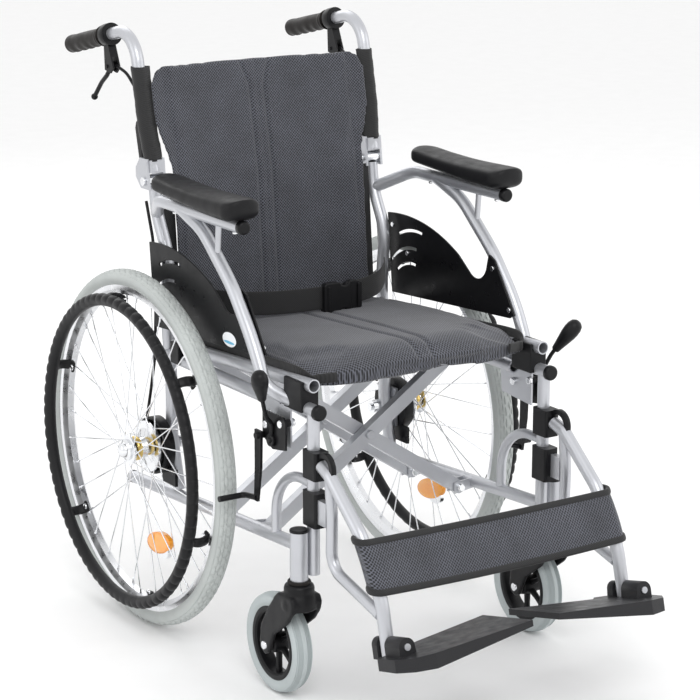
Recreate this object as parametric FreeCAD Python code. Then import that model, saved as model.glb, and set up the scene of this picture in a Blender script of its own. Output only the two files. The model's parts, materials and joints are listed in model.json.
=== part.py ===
import FreeCAD, Part
import os
from math import atan, atan2, cos, pi, radians, sin, sqrt, tan

Vector = FreeCAD.Vector

# Manual folding wheelchair, in millimetres. +Z is up, -Y is the way the occupant
# faces, +X is the occupant's left. The origin is on the floor under the middle of
# the chair's box. Places are written as (out, back, up): out is the distance from
# the middle plane, back is measured from the rear axle, and up from the floor.

# ---- overall reach ----
GRIP_END = 300.0            # rear end of the push-handle grips, behind the axle
GRIP_R = 15.5
HANDLE_DROP = 0.218         # fall per mm towards the rear, of the push handles
GRIP_RIM = GRIP_R * HANDLE_DROP / sqrt(1 + HANDLE_DROP ** 2)
FOOT_PIN_BACK = -635.0      # where the footplate's pin crosses the hanger tube
FOOT_TILT = radians(14.5)   # rise of the footplates towards the front
FOOT_REACH = 90.0           # from the hanger tube to the footplate's front edge
FOOT_FRONT_DEPTH = 31.0     # from the pin down to the footplate's lower front edge
FOOTPLATE_FRONT = FOOT_PIN_BACK - FOOT_REACH * cos(FOOT_TILT) - FOOT_FRONT_DEPTH * sin(FOOT_TILT)
AXLE_Y = -(GRIP_END + GRIP_RIM + FOOTPLATE_FRONT) / 2

# ---- wheels ----
TYRE_R = 285.0              # 22 inch rear wheel
TYRE_WIDTH = 34.0
WHEEL_X = 257.0
AXLE_Z = TYRE_R
RIM_R = 262.0
HANDRIM_X = 297.0
HANDRIM_R = 240.0
HANDRIM_TUBE_R = 10.5
SPOKES = 36
SPOKE_STAGGER = 1.3         # crossing spokes pass each other by this much each side
CASTER_R = 76.0             # 6 inch caster
CASTER_WIDTH = 32.0
CASTER_X = 230.0
CASTER_Y = -377.0
SWIVEL_Y = -434.0

# ---- side frame ----
TUBE = 20.0
WALL = 1.8
POST_X, POST_Y = 207.0, -437.0
POST_BOTTOM = 196.0
RAIL_X = 207.0
CANE_X = 203.0
ARM_X = 236.0
GUARD_X = 222.7             # inner face of the side guard, against the arm tube
PAD_TUBE_Z = 687.0
FRAME_TILT = 0.06           # rise per mm towards the front, of the rails and the seat

# ---- folding cross ----
CROSS_PIVOT_X = 178.0
CROSS_Z = 333.0             # height of the centre pivot at CROSS_Y
CROSS_Y = -277.0
CROSS_SLOPE = 0.66
SEAT_TUBE_X = 205.0
ARM_DEPTH = 16.0            # along Y
ARM_HEIGHT = 21.0
ARM_WALL = 2.0
PAIR_FRONTS = (-277.0, -147.0)

# ---- back ----
HINGE_Y, HINGE_Z = 40.0, 702.0
HANDLE_X = 210.0
BACK_TOP = 881.0

# ---- legrests ----
HANGER_X = 210.0
FOOT_TIP = 23.0             # from the middle to the footplate's thin end
FOOT_PIN_Z = 152.0
FOOT_RISE = 0.079           # rise per mm towards the middle, of the footplates

DRUM_ARM_PIVOT = (34.0, AXLE_Z + 22.5)
LATCH_PIVOT = (61.0, 714.0)
BRAKE_PIVOT = (162.0, 868.0)
LEVER_PIVOT = (-368.0, 386.0)
SHOE_PIVOT = (-343.0, 388.0)
HOOK_PIVOT = (-462.4, 384.0)
BRAKE_BOLTS = ((-350.0, 405.0), (-391.0, 415.0))

GAP = 0.3                   # between pieces that move past each other
FIT = 0.05                  # radial clearance of a pin in its hole
CABLE = 5.0                 # brake cable's outer diameter

SIDES = {"right": -1.0, "left": 1.0}
parts = {}


def at(side, out, back, up):
    """A point given as (out, back, up) on one side of the chair."""
    return Vector(side * out, back + AXLE_Y, up)


def tilt_z(up_at_axle, back):
    """Height of a line that rises towards the front with the frame's tilt."""
    return up_at_axle - FRAME_TILT * back


def add(name, shapes):
    """Keep the solids of one named sub-part."""
    if not isinstance(shapes, (list, tuple)):
        shapes = [shapes]
    solids = []
    for shape in shapes:
        solids += shape.Solids
    parts.setdefault(name, []).extend(solids)


def cylinder(start, end, radius):
    line = end - start
    return Part.makeCylinder(radius, line.Length, start, line)


def ring(centre, axis, outer, inner, length):
    """A flat-sided ring about an axis, centred on its middle."""
    start = centre - axis * (length / 2)
    return Part.makeCylinder(outer, length, start, axis).cut(
        Part.makeCylinder(inner, length, start, axis))


def box(side, out, back, up):
    """A box from pairs of limits."""
    low, high = sorted(side * value for value in out)
    corner = Vector(low, back[0] + AXLE_Y, up[0])
    return Part.makeBox(high - low, back[1] - back[0], up[1] - up[0], corner)


def bent_wire(points, radius):
    """Straight runs joined by tangent arcs at each inner point."""
    radii = radius if isinstance(radius, (list, tuple)) else [radius] * (len(points) - 2)
    edges, last = [], points[0]
    for index, bend in enumerate(radii, start=1):
        corner = points[index]
        before = (points[index - 1] - corner).normalize()
        after = (points[index + 1] - corner).normalize()
        half = before.getAngle(after) / 2
        reach = bend / tan(half)
        start, end = corner + before * reach, corner + after * reach
        middle = (before + after).normalize()
        apex = corner + middle * (bend / sin(half) - bend)
        if (start - last).Length > 1e-6:
            edges.append(Part.LineSegment(last, start).toShape())
        edges.append(Part.Arc(start, apex, end).toShape())
        last = end
    edges.append(Part.LineSegment(last, points[-1]).toShape())
    return Part.Wire(edges)


def rod(points, diameter, radius=40.0):
    """A solid round bar along a bent path."""
    if len(points) == 2:
        return cylinder(points[0], points[1], diameter / 2)
    path = bent_wire(points, radius)
    circle = Part.Circle(points[0], points[1] - points[0], diameter / 2).toShape()
    return path.makePipeShell([Part.Wire([circle])], True, False)


def tube(points, diameter=TUBE, radius=40.0, wall=WALL):
    """The outer and inner bars of a bent tube, for coping and hollowing."""
    return rod(points, diameter, radius), rod(points, diameter - 2 * wall, radius)


def weld(tubes):
    """Hollow each tube and cope it against the outsides of those before it."""
    made = []
    for index, (outer, inner) in enumerate(tubes):
        shape = outer.cut(inner)
        for other, _ in tubes[:index]:
            if shape.BoundBox.intersect(other.BoundBox):
                shape = shape.cut(other)
        made.append(max(shape.Solids, key=lambda solid: solid.Volume))
    return made


def plate(points, thickness):
    """A flat plate from its outline, thickened along the outline's normal."""
    face = Part.Face(Part.makePolygon(list(points) + [points[0]]))
    normal = face.normalAt(0, 0)
    return face.extrude(normal * thickness)


def slab_at(side, out, outline, thickness):
    """A plate in a vertical fore-and-aft plane, centred on its distance out."""
    slab = plate([at(side, out, *point) for point in outline], thickness)
    centre = (slab.BoundBox.XMin + slab.BoundBox.XMax) / 2
    slab.translate(Vector(side * out - centre, 0, 0))
    return slab


def rounded(shape, radius, keep=None):
    """Round the edges of a shape that pass the test, all of them by default."""
    edges = [edge for edge in shape.Edges if keep is None or keep(edge)]
    return shape.makeFillet(radius, edges)


def bolt_head(centre, axis, radius, height):
    """A domed hexagon-sized head that stands on a face."""
    dome = Part.makeCylinder(radius, height, centre, axis)
    return rounded(dome, height * 0.4, lambda edge: edge.CenterOfMass.sub(centre).dot(axis) > height * 0.9)


OUT = {name: Vector(sign, 0, 0) for name, sign in SIDES.items()}
AHEAD, UP = Vector(0, -1, 0), Vector(0, 0, 1)
FOLD_AXIS = Vector(0, -1, FRAME_TILT).normalize()


# ================= folding cross =================
UP_FOLD = Vector(0, FRAME_TILT, 1).normalize()   # up, in the plane that the cross folds in
ARM_ANGLE = atan(CROSS_SLOPE * cos(atan(FRAME_TILT)))
PIVOT_Z = CROSS_Z - CROSS_SLOPE * CROSS_PIVOT_X
SEAT_Z = CROSS_Z + CROSS_SLOPE * SEAT_TUBE_X
PIVOT_AT_AXLE = PIVOT_Z + FRAME_TILT * CROSS_Y
CROSS_AT_AXLE = CROSS_Z + FRAME_TILT * CROSS_Y
SEAT_AT_AXLE = SEAT_Z + FRAME_TILT * CROSS_Y
SEAT_TUBE_FRONT, SEAT_TUBE_BACK = -436.0, -28.0
RAIL_AT_AXLE = 204.0


def cross_arm(side, front):
    """One bar from the lower pivot on the far side up to this side's seat tube."""
    depth = FOLD_AXIS * -ARM_DEPTH
    start = at(side, -CROSS_PIVOT_X, front, tilt_z(PIVOT_AT_AXLE, front))
    along = Vector(side * cos(ARM_ANGLE), 0, 0) + UP_FOLD * sin(ARM_ANGLE)
    across = FOLD_AXIS.cross(along).normalize()
    length = (CROSS_PIVOT_X + SEAT_TUBE_X) / cos(ARM_ANGLE)

    def bar(first, half_height, recess):
        low = start + along * first - FOLD_AXIS * recess
        corners = [low + across * half_height, low - across * half_height]
        corners += [corners[1] + along * (length - first), corners[0] + along * (length - first)]
        face = Part.Face(Part.makePolygon(corners + [corners[0]]))
        return face.extrude(FOLD_AXIS * (2 * recess - ARM_DEPTH))

    end = Part.makeCylinder(ARM_HEIGHT / 2, ARM_DEPTH, start, depth)
    hollow = bar(16.0, ARM_HEIGHT / 2 - ARM_WALL, ARM_WALL)
    return bar(0.0, ARM_HEIGHT / 2, 0.0).fuse(end).removeSplitter().cut(hollow)


def seat_tube(side):
    start = at(side, SEAT_TUBE_X, SEAT_TUBE_FRONT, tilt_z(SEAT_AT_AXLE, SEAT_TUBE_FRONT))
    end = at(side, SEAT_TUBE_X, SEAT_TUBE_BACK, tilt_z(SEAT_AT_AXLE, SEAT_TUBE_BACK))
    return start, end


def pin_along_fold(out, front, back, up_at_axle, radius, side=1.0):
    start = at(side, out, front, tilt_z(up_at_axle, front))
    end = at(side, out, back, tilt_z(up_at_axle, back))
    return cylinder(start, end, radius)


PIN_R = 4.0
for name, order in (("left", 0), ("right", 1)):
    side = SIDES[name]
    start, end = seat_tube(side)
    tube_outer = cylinder(start, end, TUBE / 2)
    tube_inner = cylinder(start, end, TUBE / 2 - WALL)
    arms = []
    for pair_front in PAIR_FRONTS:
        front = pair_front + order * (ARM_DEPTH + 2 * GAP)
        arm = cross_arm(side, front).cut(tube_outer)
        clear = (front - ARM_DEPTH, front + 2 * ARM_DEPTH)
        low = pin_along_fold(-CROSS_PIVOT_X, *clear, PIVOT_AT_AXLE, PIN_R + FIT, side)
        centre = pin_along_fold(0, *clear, CROSS_AT_AXLE, PIN_R + FIT if order else PIN_R)
        arm = arm.cut(low).cut(centre)
        arms.append(max(arm.Solids, key=lambda solid: solid.Volume))
    add("cross_frame_" + name, [tube_outer.cut(tube_inner)] + arms)

# the centre bolts turn with the bars that carry the left seat tube; the bars lean with
# the fold plane, so their faces stand further back at the centre than at the lower pivot
CENTRE_SETBACK = FRAME_TILT * CROSS_SLOPE * CROSS_PIVOT_X / (1 + FRAME_TILT ** 2)
for first in PAIR_FRONTS:
    pair_front = first + CENTRE_SETBACK
    reach = 2 * ARM_DEPTH + 2 * GAP
    shank = pin_along_fold(0, pair_front, pair_front + reach + 4.3, CROSS_AT_AXLE, PIN_R)
    head_at = at(1, 0, pair_front, tilt_z(CROSS_AT_AXLE, pair_front))
    head = bolt_head(head_at, FOLD_AXIS, 7.0, 5.0)
    nut_front = pair_front + reach + GAP
    nut = Part.makeCylinder(6.5, 5.0, at(1, 0, nut_front, tilt_z(CROSS_AT_AXLE, nut_front)),
                            FOLD_AXIS * -1)
    add("cross_frame_left", shank.fuse([head, nut]).removeSplitter())

# ================= side frames =================
ARM_PATH = [(ARM_X, -104.0, PAD_TUBE_Z), (ARM_X, -176.0, 663.0), (ARM_X, -262.0, 592.0),
            (ARM_X + 1, -322.0, 520.0), (ARM_X, -352.0, 462.0), (RAIL_X, -392.0, 442.0),
            (RAIL_X, -449.0, 442.0)]
ARM_BENDS = [120.0, 260.0, 320.0, 45.0, 40.0]
CANE_PATH = [(CANE_X, HINGE_Y - 4, 694.0), (CANE_X, 30.0, 652.0), (CANE_X, -6.0, 586.0),
             (CANE_X, 4.0, 500.0), (CANE_X, -9.0, 380.0), (CANE_X, -6.0, 300.0),
             (CANE_X, -28.0, 214.0)]
CANE_BENDS = [110.0, 90.0, 260.0, 400.0, 120.0]


def guard_outline(side, out):
    """The side guard: a long arched top edge, a round notch and a sloping front."""
    def p(back, up):
        return at(side, out, back, up)
    edges = [
        Part.Arc(p(16, 611), p(-98, 607), p(-186, 575)),
        Part.LineSegment(p(-186, 575), p(-216, 553)),
        Part.Arc(p(-216, 553), p(-243, 547), p(-262, 566)),
        Part.LineSegment(p(-262, 566), p(-268, 590)),
        Part.LineSegment(p(-268, 590), p(-283, 584)),
        Part.LineSegment(p(-283, 584), p(-336, 506)),
        Part.LineSegment(p(-336, 506), p(-326, 499)),
        Part.LineSegment(p(-326, 499), p(-60, 482)),
        Part.LineSegment(p(-60, 482), p(2, 478)),
        Part.LineSegment(p(2, 478), p(16, 611)),
    ]
    return Part.Face(Part.Wire([edge.toShape() for edge in edges]))


def arc_slot(side, out, back, up, radius, start, end, width=5.0):
    """A cutter for a curved slot, from its centre and its two angles."""
    inner, outer = radius - width / 2, radius + width / 2
    wedge = [at(side, out - 5, back, up)]
    steps = 8
    for index in range(steps + 1):
        angle = radians(start + (end - start) * index / steps)
        wedge.append(at(side, out - 5, back - 2 * radius * cos(angle), up + 2 * radius * sin(angle)))
    sector = Part.Face(Part.makePolygon(wedge + [wedge[0]])).extrude(Vector(side * 10, 0, 0))
    middle = at(side, out, back, up)
    return sector.common(ring(middle, Vector(1, 0, 0), outer, inner, 8.0))


def side_frame(name):
    side, out = SIDES[name], OUT[name]

    def p(point):
        return at(side, *point)

    rail_front = [p((RAIL_X, POST_Y + 2, tilt_z(RAIL_AT_AXLE, POST_Y))),
                  p((RAIL_X, 118.0, tilt_z(RAIL_AT_AXLE, 118.0)))]
    pad_tube = [p((CANE_X + 2, 26.0, 654.0)), p((ARM_X, -40.0, PAD_TUBE_Z)),
                p((ARM_X, -288.0, PAD_TUBE_Z))]
    cane = tube([p(point) for point in CANE_PATH], radius=CANE_BENDS)
    upper_rail = tube([p((RAIL_X, -2.0, 432.0)), p((RAIL_X, -362.0, 432.0))])
    lower_rail = tube(rail_front)
    curved = tube([p(point) for point in ARM_PATH], radius=ARM_BENDS)
    pad = tube(pad_tube, radius=60.0)
    post = tube([p((POST_X, POST_Y, POST_BOTTOM)), p((POST_X, POST_Y, 441.0))], 19.0)
    caster_tube = tube([p((CASTER_X, SWIVEL_Y, 176.0)), p((CASTER_X, SWIVEL_Y, 264.0))], 27.0)
    brace = tube([p((POST_X, POST_Y + 2, 333.0)), p((POST_X, -333.0, 333.0)),
                  p((POST_X, -333.0, 224.0))], 15.0, 72.0)
    strut = tube([p((ARM_X, -222.0, 682.0)), p((ARM_X, -218.0, 634.0))], 9.0, wall=1.2)
    welded = weld([cane, upper_rail, lower_rail, pad, curved, post, caster_tube, brace, strut])
    rear, front = welded[:3], welded[3:]

    # flat gusset between the arm tube, the rail and the parking brake
    gusset = slab_at(side, RAIL_X + 10.5, [(-314.0, 436.0), (-350.0, 458.0), (-384.0, 452.0),
                                           (-394.0, 436.0), (-394.0, 376.0), (-318.0, 382.0)], 3.0)
    for outer, _ in [curved, upper_rail, pad]:
        gusset = gusset.cut(outer)
    for back, up in ((-336.0, 420.0), (-366.0, 440.0)):
        gusset = gusset.cut(cylinder(p((RAIL_X - 5, back, up)), p((RAIL_X + 25, back, up)), 3.0))
    front.append(max(gusset.Solids, key=lambda solid: solid.Volume))

    # axle plate, welded to the upright, with the sleeve that the axle screws into
    axle_plate = slab_at(side, CANE_X + 11.5, [(22.0, 318.0), (-26.0, 318.0),
                                               (-26.0, 252.0), (22.0, 252.0)], 5.0)
    axle_sleeve = cylinder(p((CANE_X - 14, 0, AXLE_Z)), p((CANE_X + 15, 0, AXLE_Z)), 11.0)
    bracket = axle_plate.fuse(axle_sleeve)
    bracket = bracket.cut(cane[0])
    axle_hole = cylinder(p((CANE_X - 30, 0, AXLE_Z)), p((CANE_X + 40, 0, AXLE_Z)), 6.0)
    bracket = bracket.cut(axle_hole)
    rear = [rear[0].cut(axle_hole)] + rear[1:]
    rear.append(max(bracket.Solids, key=lambda solid: solid.Volume))

    # lugs that hold the lower ends of the folding cross
    order = 1 if name == "left" else 0
    for pair_front in PAIR_FRONTS:
        first = pair_front + order * (ARM_DEPTH + 2 * GAP)
        for front_face in (first - GAP - 3.0, first + ARM_DEPTH + GAP):
            pivot = p((CROSS_PIVOT_X, front_face, tilt_z(PIVOT_AT_AXLE, front_face)))
            rail_up = RAIL_AT_AXLE - PIVOT_AT_AXLE
            corners = [pivot + out * x + UP_FOLD * up for x, up in
                       ((-11, -9), (-11, 9), (RAIL_X - CROSS_PIVOT_X, rail_up + 8),
                        (RAIL_X - CROSS_PIVOT_X, rail_up - 9))]
            lug = Part.Face(Part.makePolygon(corners + [corners[0]])).extrude(FOLD_AXIS * -3.0)
            lug = lug.cut(lower_rail[0])
            lug = lug.cut(pin_along_fold(CROSS_PIVOT_X, front_face - 9, front_face + 9,
                                         PIVOT_AT_AXLE, PIN_R, side))
            rear.append(max(lug.Solids, key=lambda solid: solid.Volume))

    add("front_frame_" + name, front)
    add("rear_frame_" + name, rear)

    # ---- black plastic: plugs, seat-tube rests, parking brake plate ----
    def plug(point, axis, radius, length):
        stub = Part.makeCylinder(radius, length, p(point), axis)
        stub = rounded(stub, min(radius, length) * 0.45,
                       lambda edge: edge.CenterOfMass.sub(p(point)).dot(axis) > length * 0.9)
        return stub.cut(post[0])
    fittings = [
        plug((RAIL_X, -449.0, 442.0), AHEAD, TUBE / 2 + 1.5, 9.0),
        plug((ARM_X, -288.0, PAD_TUBE_Z), AHEAD, TUBE / 2 + 0.5, 11.0),
        plug((RAIL_X, 118.0, tilt_z(RAIL_AT_AXLE, 118.0)), FOLD_AXIS * -1, TUBE / 2 + 0.5, 7.0),
        plug((CASTER_X, SWIVEL_Y, 264.0), UP, 14.0, 4.0),
    ]
    post_outer, rail_outer = post[0], upper_rail[0]
    for front_back, base in (((-425.0, -376.0), 437.0), ((-62.0, -36.0), 427.0)):
        low = tilt_z(SEAT_AT_AXLE, sum(front_back) / 2)
        rest = box(side, (SEAT_TUBE_X - 15.0, SEAT_TUBE_X + 15.0), front_back, (base, low + 7.0))
        rest = rounded(rest, 2.0)
        middle = sum(front_back) / 2
        start = at(side, SEAT_TUBE_X, middle - 40, tilt_z(SEAT_AT_AXLE, middle - 40))
        end = at(side, SEAT_TUBE_X, middle + 40, tilt_z(SEAT_AT_AXLE, middle + 40))
        cradle = cylinder(start, end, TUBE / 2 + GAP)
        slot = cradle.fuse(box(side, (SEAT_TUBE_X - TUBE / 2 - 1.2, SEAT_TUBE_X + TUBE / 2 + GAP),
                               (middle - 40, middle + 40), (low, low + 40)))
        rest = rest.cut(slot)
        for outer in (curved[0], rail_outer, post_outer, pad[0], gusset):
            rest = rest.cut(outer)
        fittings.append(max(rest.Solids, key=lambda solid: solid.Volume))
    brake_plate = slab_at(side, RAIL_X + 25.5, [(-340.0, 426.0), (-398.0, 426.0), (-404.0, 418.0),
                                                (-404.0, 378.0), (-368.0, 372.0), (-340.0, 386.0)], 3.0)
    spacer = []
    for back, up in BRAKE_BOLTS:
        stub = cylinder(p((RAIL_X + 12.2, back, up)), p((RAIL_X + 21.0, back, up)), 6.0)
        spacer.append(stub)
    fittings += [brake_plate] + spacer
    add("frame_fittings_" + name, fittings)

    # ---- side guard, arm pad ----
    guard = guard_outline(side, GUARD_X).extrude(out * 3.0)
    for back, up, radius, start, end in ((-66, 486, 106, 62, 100), (-60, 478, 84, 40, 96),
                                         (-56, 474, 62, 46, 100)):
        guard = guard.cut(arc_slot(side, GUARD_X + 1.5, back, up, radius, 180 - end, 180 - start))
    add("side_guard_" + name, guard)

    outline = [at(side, ARM_X + 30.0, -58.0, 698.0), at(side, ARM_X + 34.0, -296.0, 698.0),
               at(side, ARM_X - 28.0, -310.0, 698.0), at(side, ARM_X - 30.0, -58.0, 698.0)]
    arm_pad = Part.Face(Part.makePolygon(outline + [outline[0]])).extrude(Vector(0, 0, 29.0))
    arm_pad = rounded(arm_pad, 14.0, lambda edge: abs(edge.tangentAt(edge.FirstParameter).z) > 0.9)
    arm_pad = rounded(arm_pad, 8.0, lambda edge: edge.CenterOfMass.z > 726.0)
    add("arm_pad_" + name, arm_pad.cut(pad[0]).cut(curved[0]).cut(strut[0]))

    # ---- chrome fasteners ----
    bolts = []
    for back, up in ((0.0, 593.0), (-44.0, 552.0), (-280.0, 570.0), (-325.0, 512.0)):
        bolts.append(bolt_head(p((GUARD_X, back, up)), out * -1, 4.0, 2.5))
    for back, up in BRAKE_BOLTS:
        bolts.append(bolt_head(p((RAIL_X + 27.0, back, up)), out, 6.0, 3.0))
        bolts.append(bolt_head(p((RAIL_X + 9.0, back, up)), out * -1, 6.0, 5.0))
    for back in (-90.0, -270.0):
        bolts.append(bolt_head(p((ARM_X, back, PAD_TUBE_Z - TUBE / 2)), UP * -1, 4.0, 3.0))
    for pair_front in PAIR_FRONTS:
        first = pair_front + order * (ARM_DEPTH + 2 * GAP) - GAP - 3.0
        last = first + ARM_DEPTH + 2 * GAP + 6.0
        shank = pin_along_fold(CROSS_PIVOT_X, first, last, PIVOT_AT_AXLE, PIN_R, side)
        head = bolt_head(p((CROSS_PIVOT_X, first, tilt_z(PIVOT_AT_AXLE, first))), FOLD_AXIS, 7.0, 5.0)
        nut = Part.makeCylinder(6.5, 5.0, p((CROSS_PIVOT_X, last, tilt_z(PIVOT_AT_AXLE, last))),
                                FOLD_AXIS * -1)
        bolts += [shank.fuse([head, nut]).removeSplitter()]
    nut = ring(p((CANE_X - 18.0, 0, AXLE_Z)), out, 11.0, 6.0, 8.0)
    axle = cylinder(p((CANE_X - 26.0, 0, AXLE_Z)), p((WHEEL_X + 26.0, 0, AXLE_Z)), 6.0)
    bolts += [nut, axle]
    add("frame_bolts_" + name, bolts)
    return curved[0], upper_rail[0], cane[0]


outer_tubes = {name: side_frame(name) for name in SIDES}


# ================= rear wheels =================
def revolve(side, out_centre, back, up, profile):
    """Turn a closed outline of (radius, out offset) about a wheel's axle."""
    points = [at(side, out_centre + offset, back, up + radius) for radius, offset in profile]
    face = Part.Face(Part.makePolygon(points + [points[0]]))
    return face.revolve(at(side, out_centre, back, up), Vector(1, 0, 0), 360)


def wheel(name):
    side, out = SIDES[name], OUT[name]
    half = TYRE_WIDTH / 2
    tyre = [(RIM_R, -12.5), (TYRE_R - 13.0, -half), (TYRE_R - 5.0, -half + 2.5), (TYRE_R, -7.0),
            (TYRE_R, 7.0), (TYRE_R - 5.0, half - 2.5), (TYRE_R - 13.0, half), (RIM_R, 12.5)]
    add("rear_tyre_" + name, revolve(side, WHEEL_X, 0, AXLE_Z, tyre))
    rim_outside = [(RIM_R, 12.5), (RIM_R - 9.0, 11.5), (RIM_R - 17.0, 5.5),
                   (RIM_R - 17.0, -5.5), (RIM_R - 9.0, -11.5), (RIM_R, -12.5)]
    rim_channel = [(RIM_R, -10.0), (RIM_R - 7.5, -9.3), (RIM_R - 14.5, -4.3),
                   (RIM_R - 14.5, 4.3), (RIM_R - 7.5, 9.3), (RIM_R, 10.0)]
    add("rear_rim_" + name, revolve(side, WHEEL_X, 0, AXLE_Z, rim_outside + rim_channel))

    # hub: an outer flange, a barrel, a wide drum flange and the brake drum behind it
    bore = 6.0 + FIT
    hub = [(bore, -33.0), (22.0, -33.0), (22.0, -30.0), (38.0, -30.0), (38.0, -14.0), (41.0, -14.0),
           (41.0, -11.0), (30.0, -10.0), (17.0, -6.0), (14.0, 4.0), (14.0, 17.0), (24.0, 19.0),
           (24.0, 22.0), (17.0, 23.0), (17.0, 26.0), (12.0, 29.0), (bore, 29.0)]
    hub = revolve(side, WHEEL_X, 0, AXLE_Z, hub)
    add("hub_" + name, hub)

    # crossed spokes from both flanges to the rim, and the clip-on reflector
    spokes = []
    centre = at(side, WHEEL_X, 0, AXLE_Z)
    cross_angle = 2 * pi / SPOKES * 4
    for index in range(SPOKES):
        outer_side = index % 2
        lean = 1 if (index // 2) % 2 else -1
        rim_angle = 2 * pi * index / SPOKES
        hub_angle = rim_angle + lean * cross_angle
        flange_r, flange_x = (22.0, 20.5) if outer_side else (39.0, -12.5)
        rim_x = 3.0 if outer_side else -3.0
        start = centre + Vector(side * (flange_x + SPOKE_STAGGER * lean), flange_r * cos(hub_angle),
                                flange_r * sin(hub_angle))
        end_r = RIM_R - 17.0
        end = centre + Vector(side * (rim_x + SPOKE_STAGGER * lean), end_r * cos(rim_angle),
                              end_r * sin(rim_angle))
        spokes.append(max(cylinder(start, end, 1.0).cut(hub).Solids, key=lambda s: s.Volume))
    reflector_angle = radians(-62.0)
    spot = centre + Vector(side * 3.0, -168.0 * cos(reflector_angle), 168.0 * sin(reflector_angle))
    reflector = Part.makeCylinder(1.0, 7.0, Vector(0, 0, 0), Vector(1, 0, 0))
    stretch = FreeCAD.Matrix()
    stretch.scale(1.0, 19.0, 13.0)
    reflector = reflector.transformGeometry(stretch)
    reflector.translate(spot - Vector(3.5, 0, 0))
    spokes = [spoke.cut(reflector) for spoke in spokes]
    add("spokes_" + name, spokes + [reflector])

    # handrim on six stand-off brackets
    rim_centre = at(side, HANDRIM_X, 0, AXLE_Z)
    handrim = Part.makeTorus(HANDRIM_R, HANDRIM_TUBE_R, rim_centre, Vector(1, 0, 0))
    add("handrim_" + name, handrim)
    for index in range(6):
        angle = 2 * pi * (index + 0.35) / 6
        direction = Vector(0, cos(angle), sin(angle))
        inner_end = centre + Vector(side * 5.5, 0, 0) + direction * (RIM_R - 24.0)
        foot = inner_end + direction * 5.0
        outer_end = rim_centre + direction * HANDRIM_R
        bracket = cylinder(foot, outer_end, 6.0).cut(handrim)
        bracket = bracket.cut(revolve(side, WHEEL_X, 0, AXLE_Z, rim_outside))
        add("handrim_" + name, max(bracket.Solids, key=lambda solid: solid.Volume))

    # fixed back plate of the drum brake, and the cable that runs down to it
    plate_shape = ring(at(side, WHEEL_X - 36.0, 0, AXLE_Z), out, 46.0, 6.3, 5.0)
    shroud = ring(at(side, WHEEL_X - 27.0, 0, AXLE_Z), out, 46.0, 42.0, 13.0)
    anchor = box(side, (WHEEL_X - 38.5, WHEEL_X - 33.5), (-52.0, -10.0), (AXLE_Z - 58.0, AXLE_Z - 30.0))
    cover = plate_shape.fuse([shroud, anchor]).removeSplitter()
    cable = rod([at(side, WHEEL_X - 36.0, 44.0, AXLE_Z + 30.0), at(side, WHEEL_X - 37.0, 32.0, 360.0),
                 at(side, WHEEL_X - 37.0, 14.0, 425.0), at(side, WHEEL_X - 44.0, 20.0, 520.0),
                 at(side, WHEEL_X - 46.0, 30.0, 610.0), at(side, WHEEL_X - 47.0, 52.0, 668.0)], CABLE,
                [60.0, 90.0, 90.0, 90.0])
    add("drum_cover_" + name, [cover, cable.cut(cover)])
    arm_y, arm_z = DRUM_ARM_PIVOT
    arm = box(side, (WHEEL_X - 43.0, WHEEL_X - 39.0), (arm_y - 6.0, arm_y + 38.0), (arm_z - 4.5, arm_z + 4.5))
    pin = cylinder(at(side, WHEEL_X - 43.0, arm_y, arm_z), at(side, WHEEL_X - 38.8, arm_y, arm_z), 6.0)
    add("drum_arm_" + name, rounded(arm, 1.5).fuse(pin).removeSplitter())


for name in SIDES:
    wheel(name)


# ================= casters =================
def caster(name):
    side, out = SIDES[name], OUT[name]
    stem_top = 250.0
    stem = cylinder(at(side, CASTER_X, SWIVEL_Y, 160.0), at(side, CASTER_X, SWIVEL_Y, stem_top), 11.7 - FIT)
    crown = Part.makeCylinder(23.0, 12.0, at(side, CASTER_X, SWIVEL_Y, 163.0), UP)
    crown = rounded(crown, 3.0, lambda edge: edge.CenterOfMass.z > 170.0)
    legs = []
    for offset in (-1, 1):
        outline = [(SWIVEL_Y - 17.0, 168.0), (SWIVEL_Y + 30.0, 168.0), (CASTER_Y + 14.0, CASTER_R + 4.0),
                   (CASTER_Y + 8.0, CASTER_R - 12.0), (CASTER_Y - 8.0, CASTER_R - 12.0),
                   (CASTER_Y - 14.0, CASTER_R + 2.0), (SWIVEL_Y - 12.0, 140.0)]
        legs.append(slab_at(side, CASTER_X + offset * (CASTER_WIDTH / 2 + 5.0), outline, 6.0))
    shroud = box(side, (CASTER_X - 24.0, CASTER_X + 24.0), (SWIVEL_Y - 20.0, SWIVEL_Y + 34.0), (154.0, 166.0))
    shroud = rounded(shroud, 5.0)
    axle = cylinder(at(side, CASTER_X - 25.0, CASTER_Y, CASTER_R),
                    at(side, CASTER_X + 25.0, CASTER_Y, CASTER_R), 4.0)
    head_a = bolt_head(at(side, CASTER_X + 24.0, CASTER_Y, CASTER_R), out, 7.0, 5.0)
    head_b = bolt_head(at(side, CASTER_X - 24.0, CASTER_Y, CASTER_R), out * -1, 7.0, 5.0)
    fork = crown.fuse([shroud, stem] + legs + [axle, head_a, head_b]).removeSplitter()
    add("caster_fork_" + name, fork)
    half = CASTER_WIDTH / 2
    tyre = [(56.0, -11.0), (68.0, -half), (CASTER_R, -10.0), (CASTER_R, 10.0), (68.0, half), (56.0, 11.0)]
    core = [(4.0 + FIT, -15.0), (12.0, -15.0), (12.0, -7.0), (40.0, -5.0), (50.0, -11.0), (56.0, -11.0),
            (56.0, 11.0), (50.0, 11.0), (40.0, 5.0), (12.0, 7.0), (12.0, 15.0), (4.0 + FIT, 15.0)]
    add("caster_wheel_" + name, [revolve(side, CASTER_X, CASTER_Y, CASTER_R, tyre),
                                 revolve(side, CASTER_X, CASTER_Y, CASTER_R, core)])


for name in SIDES:
    caster(name)

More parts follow.
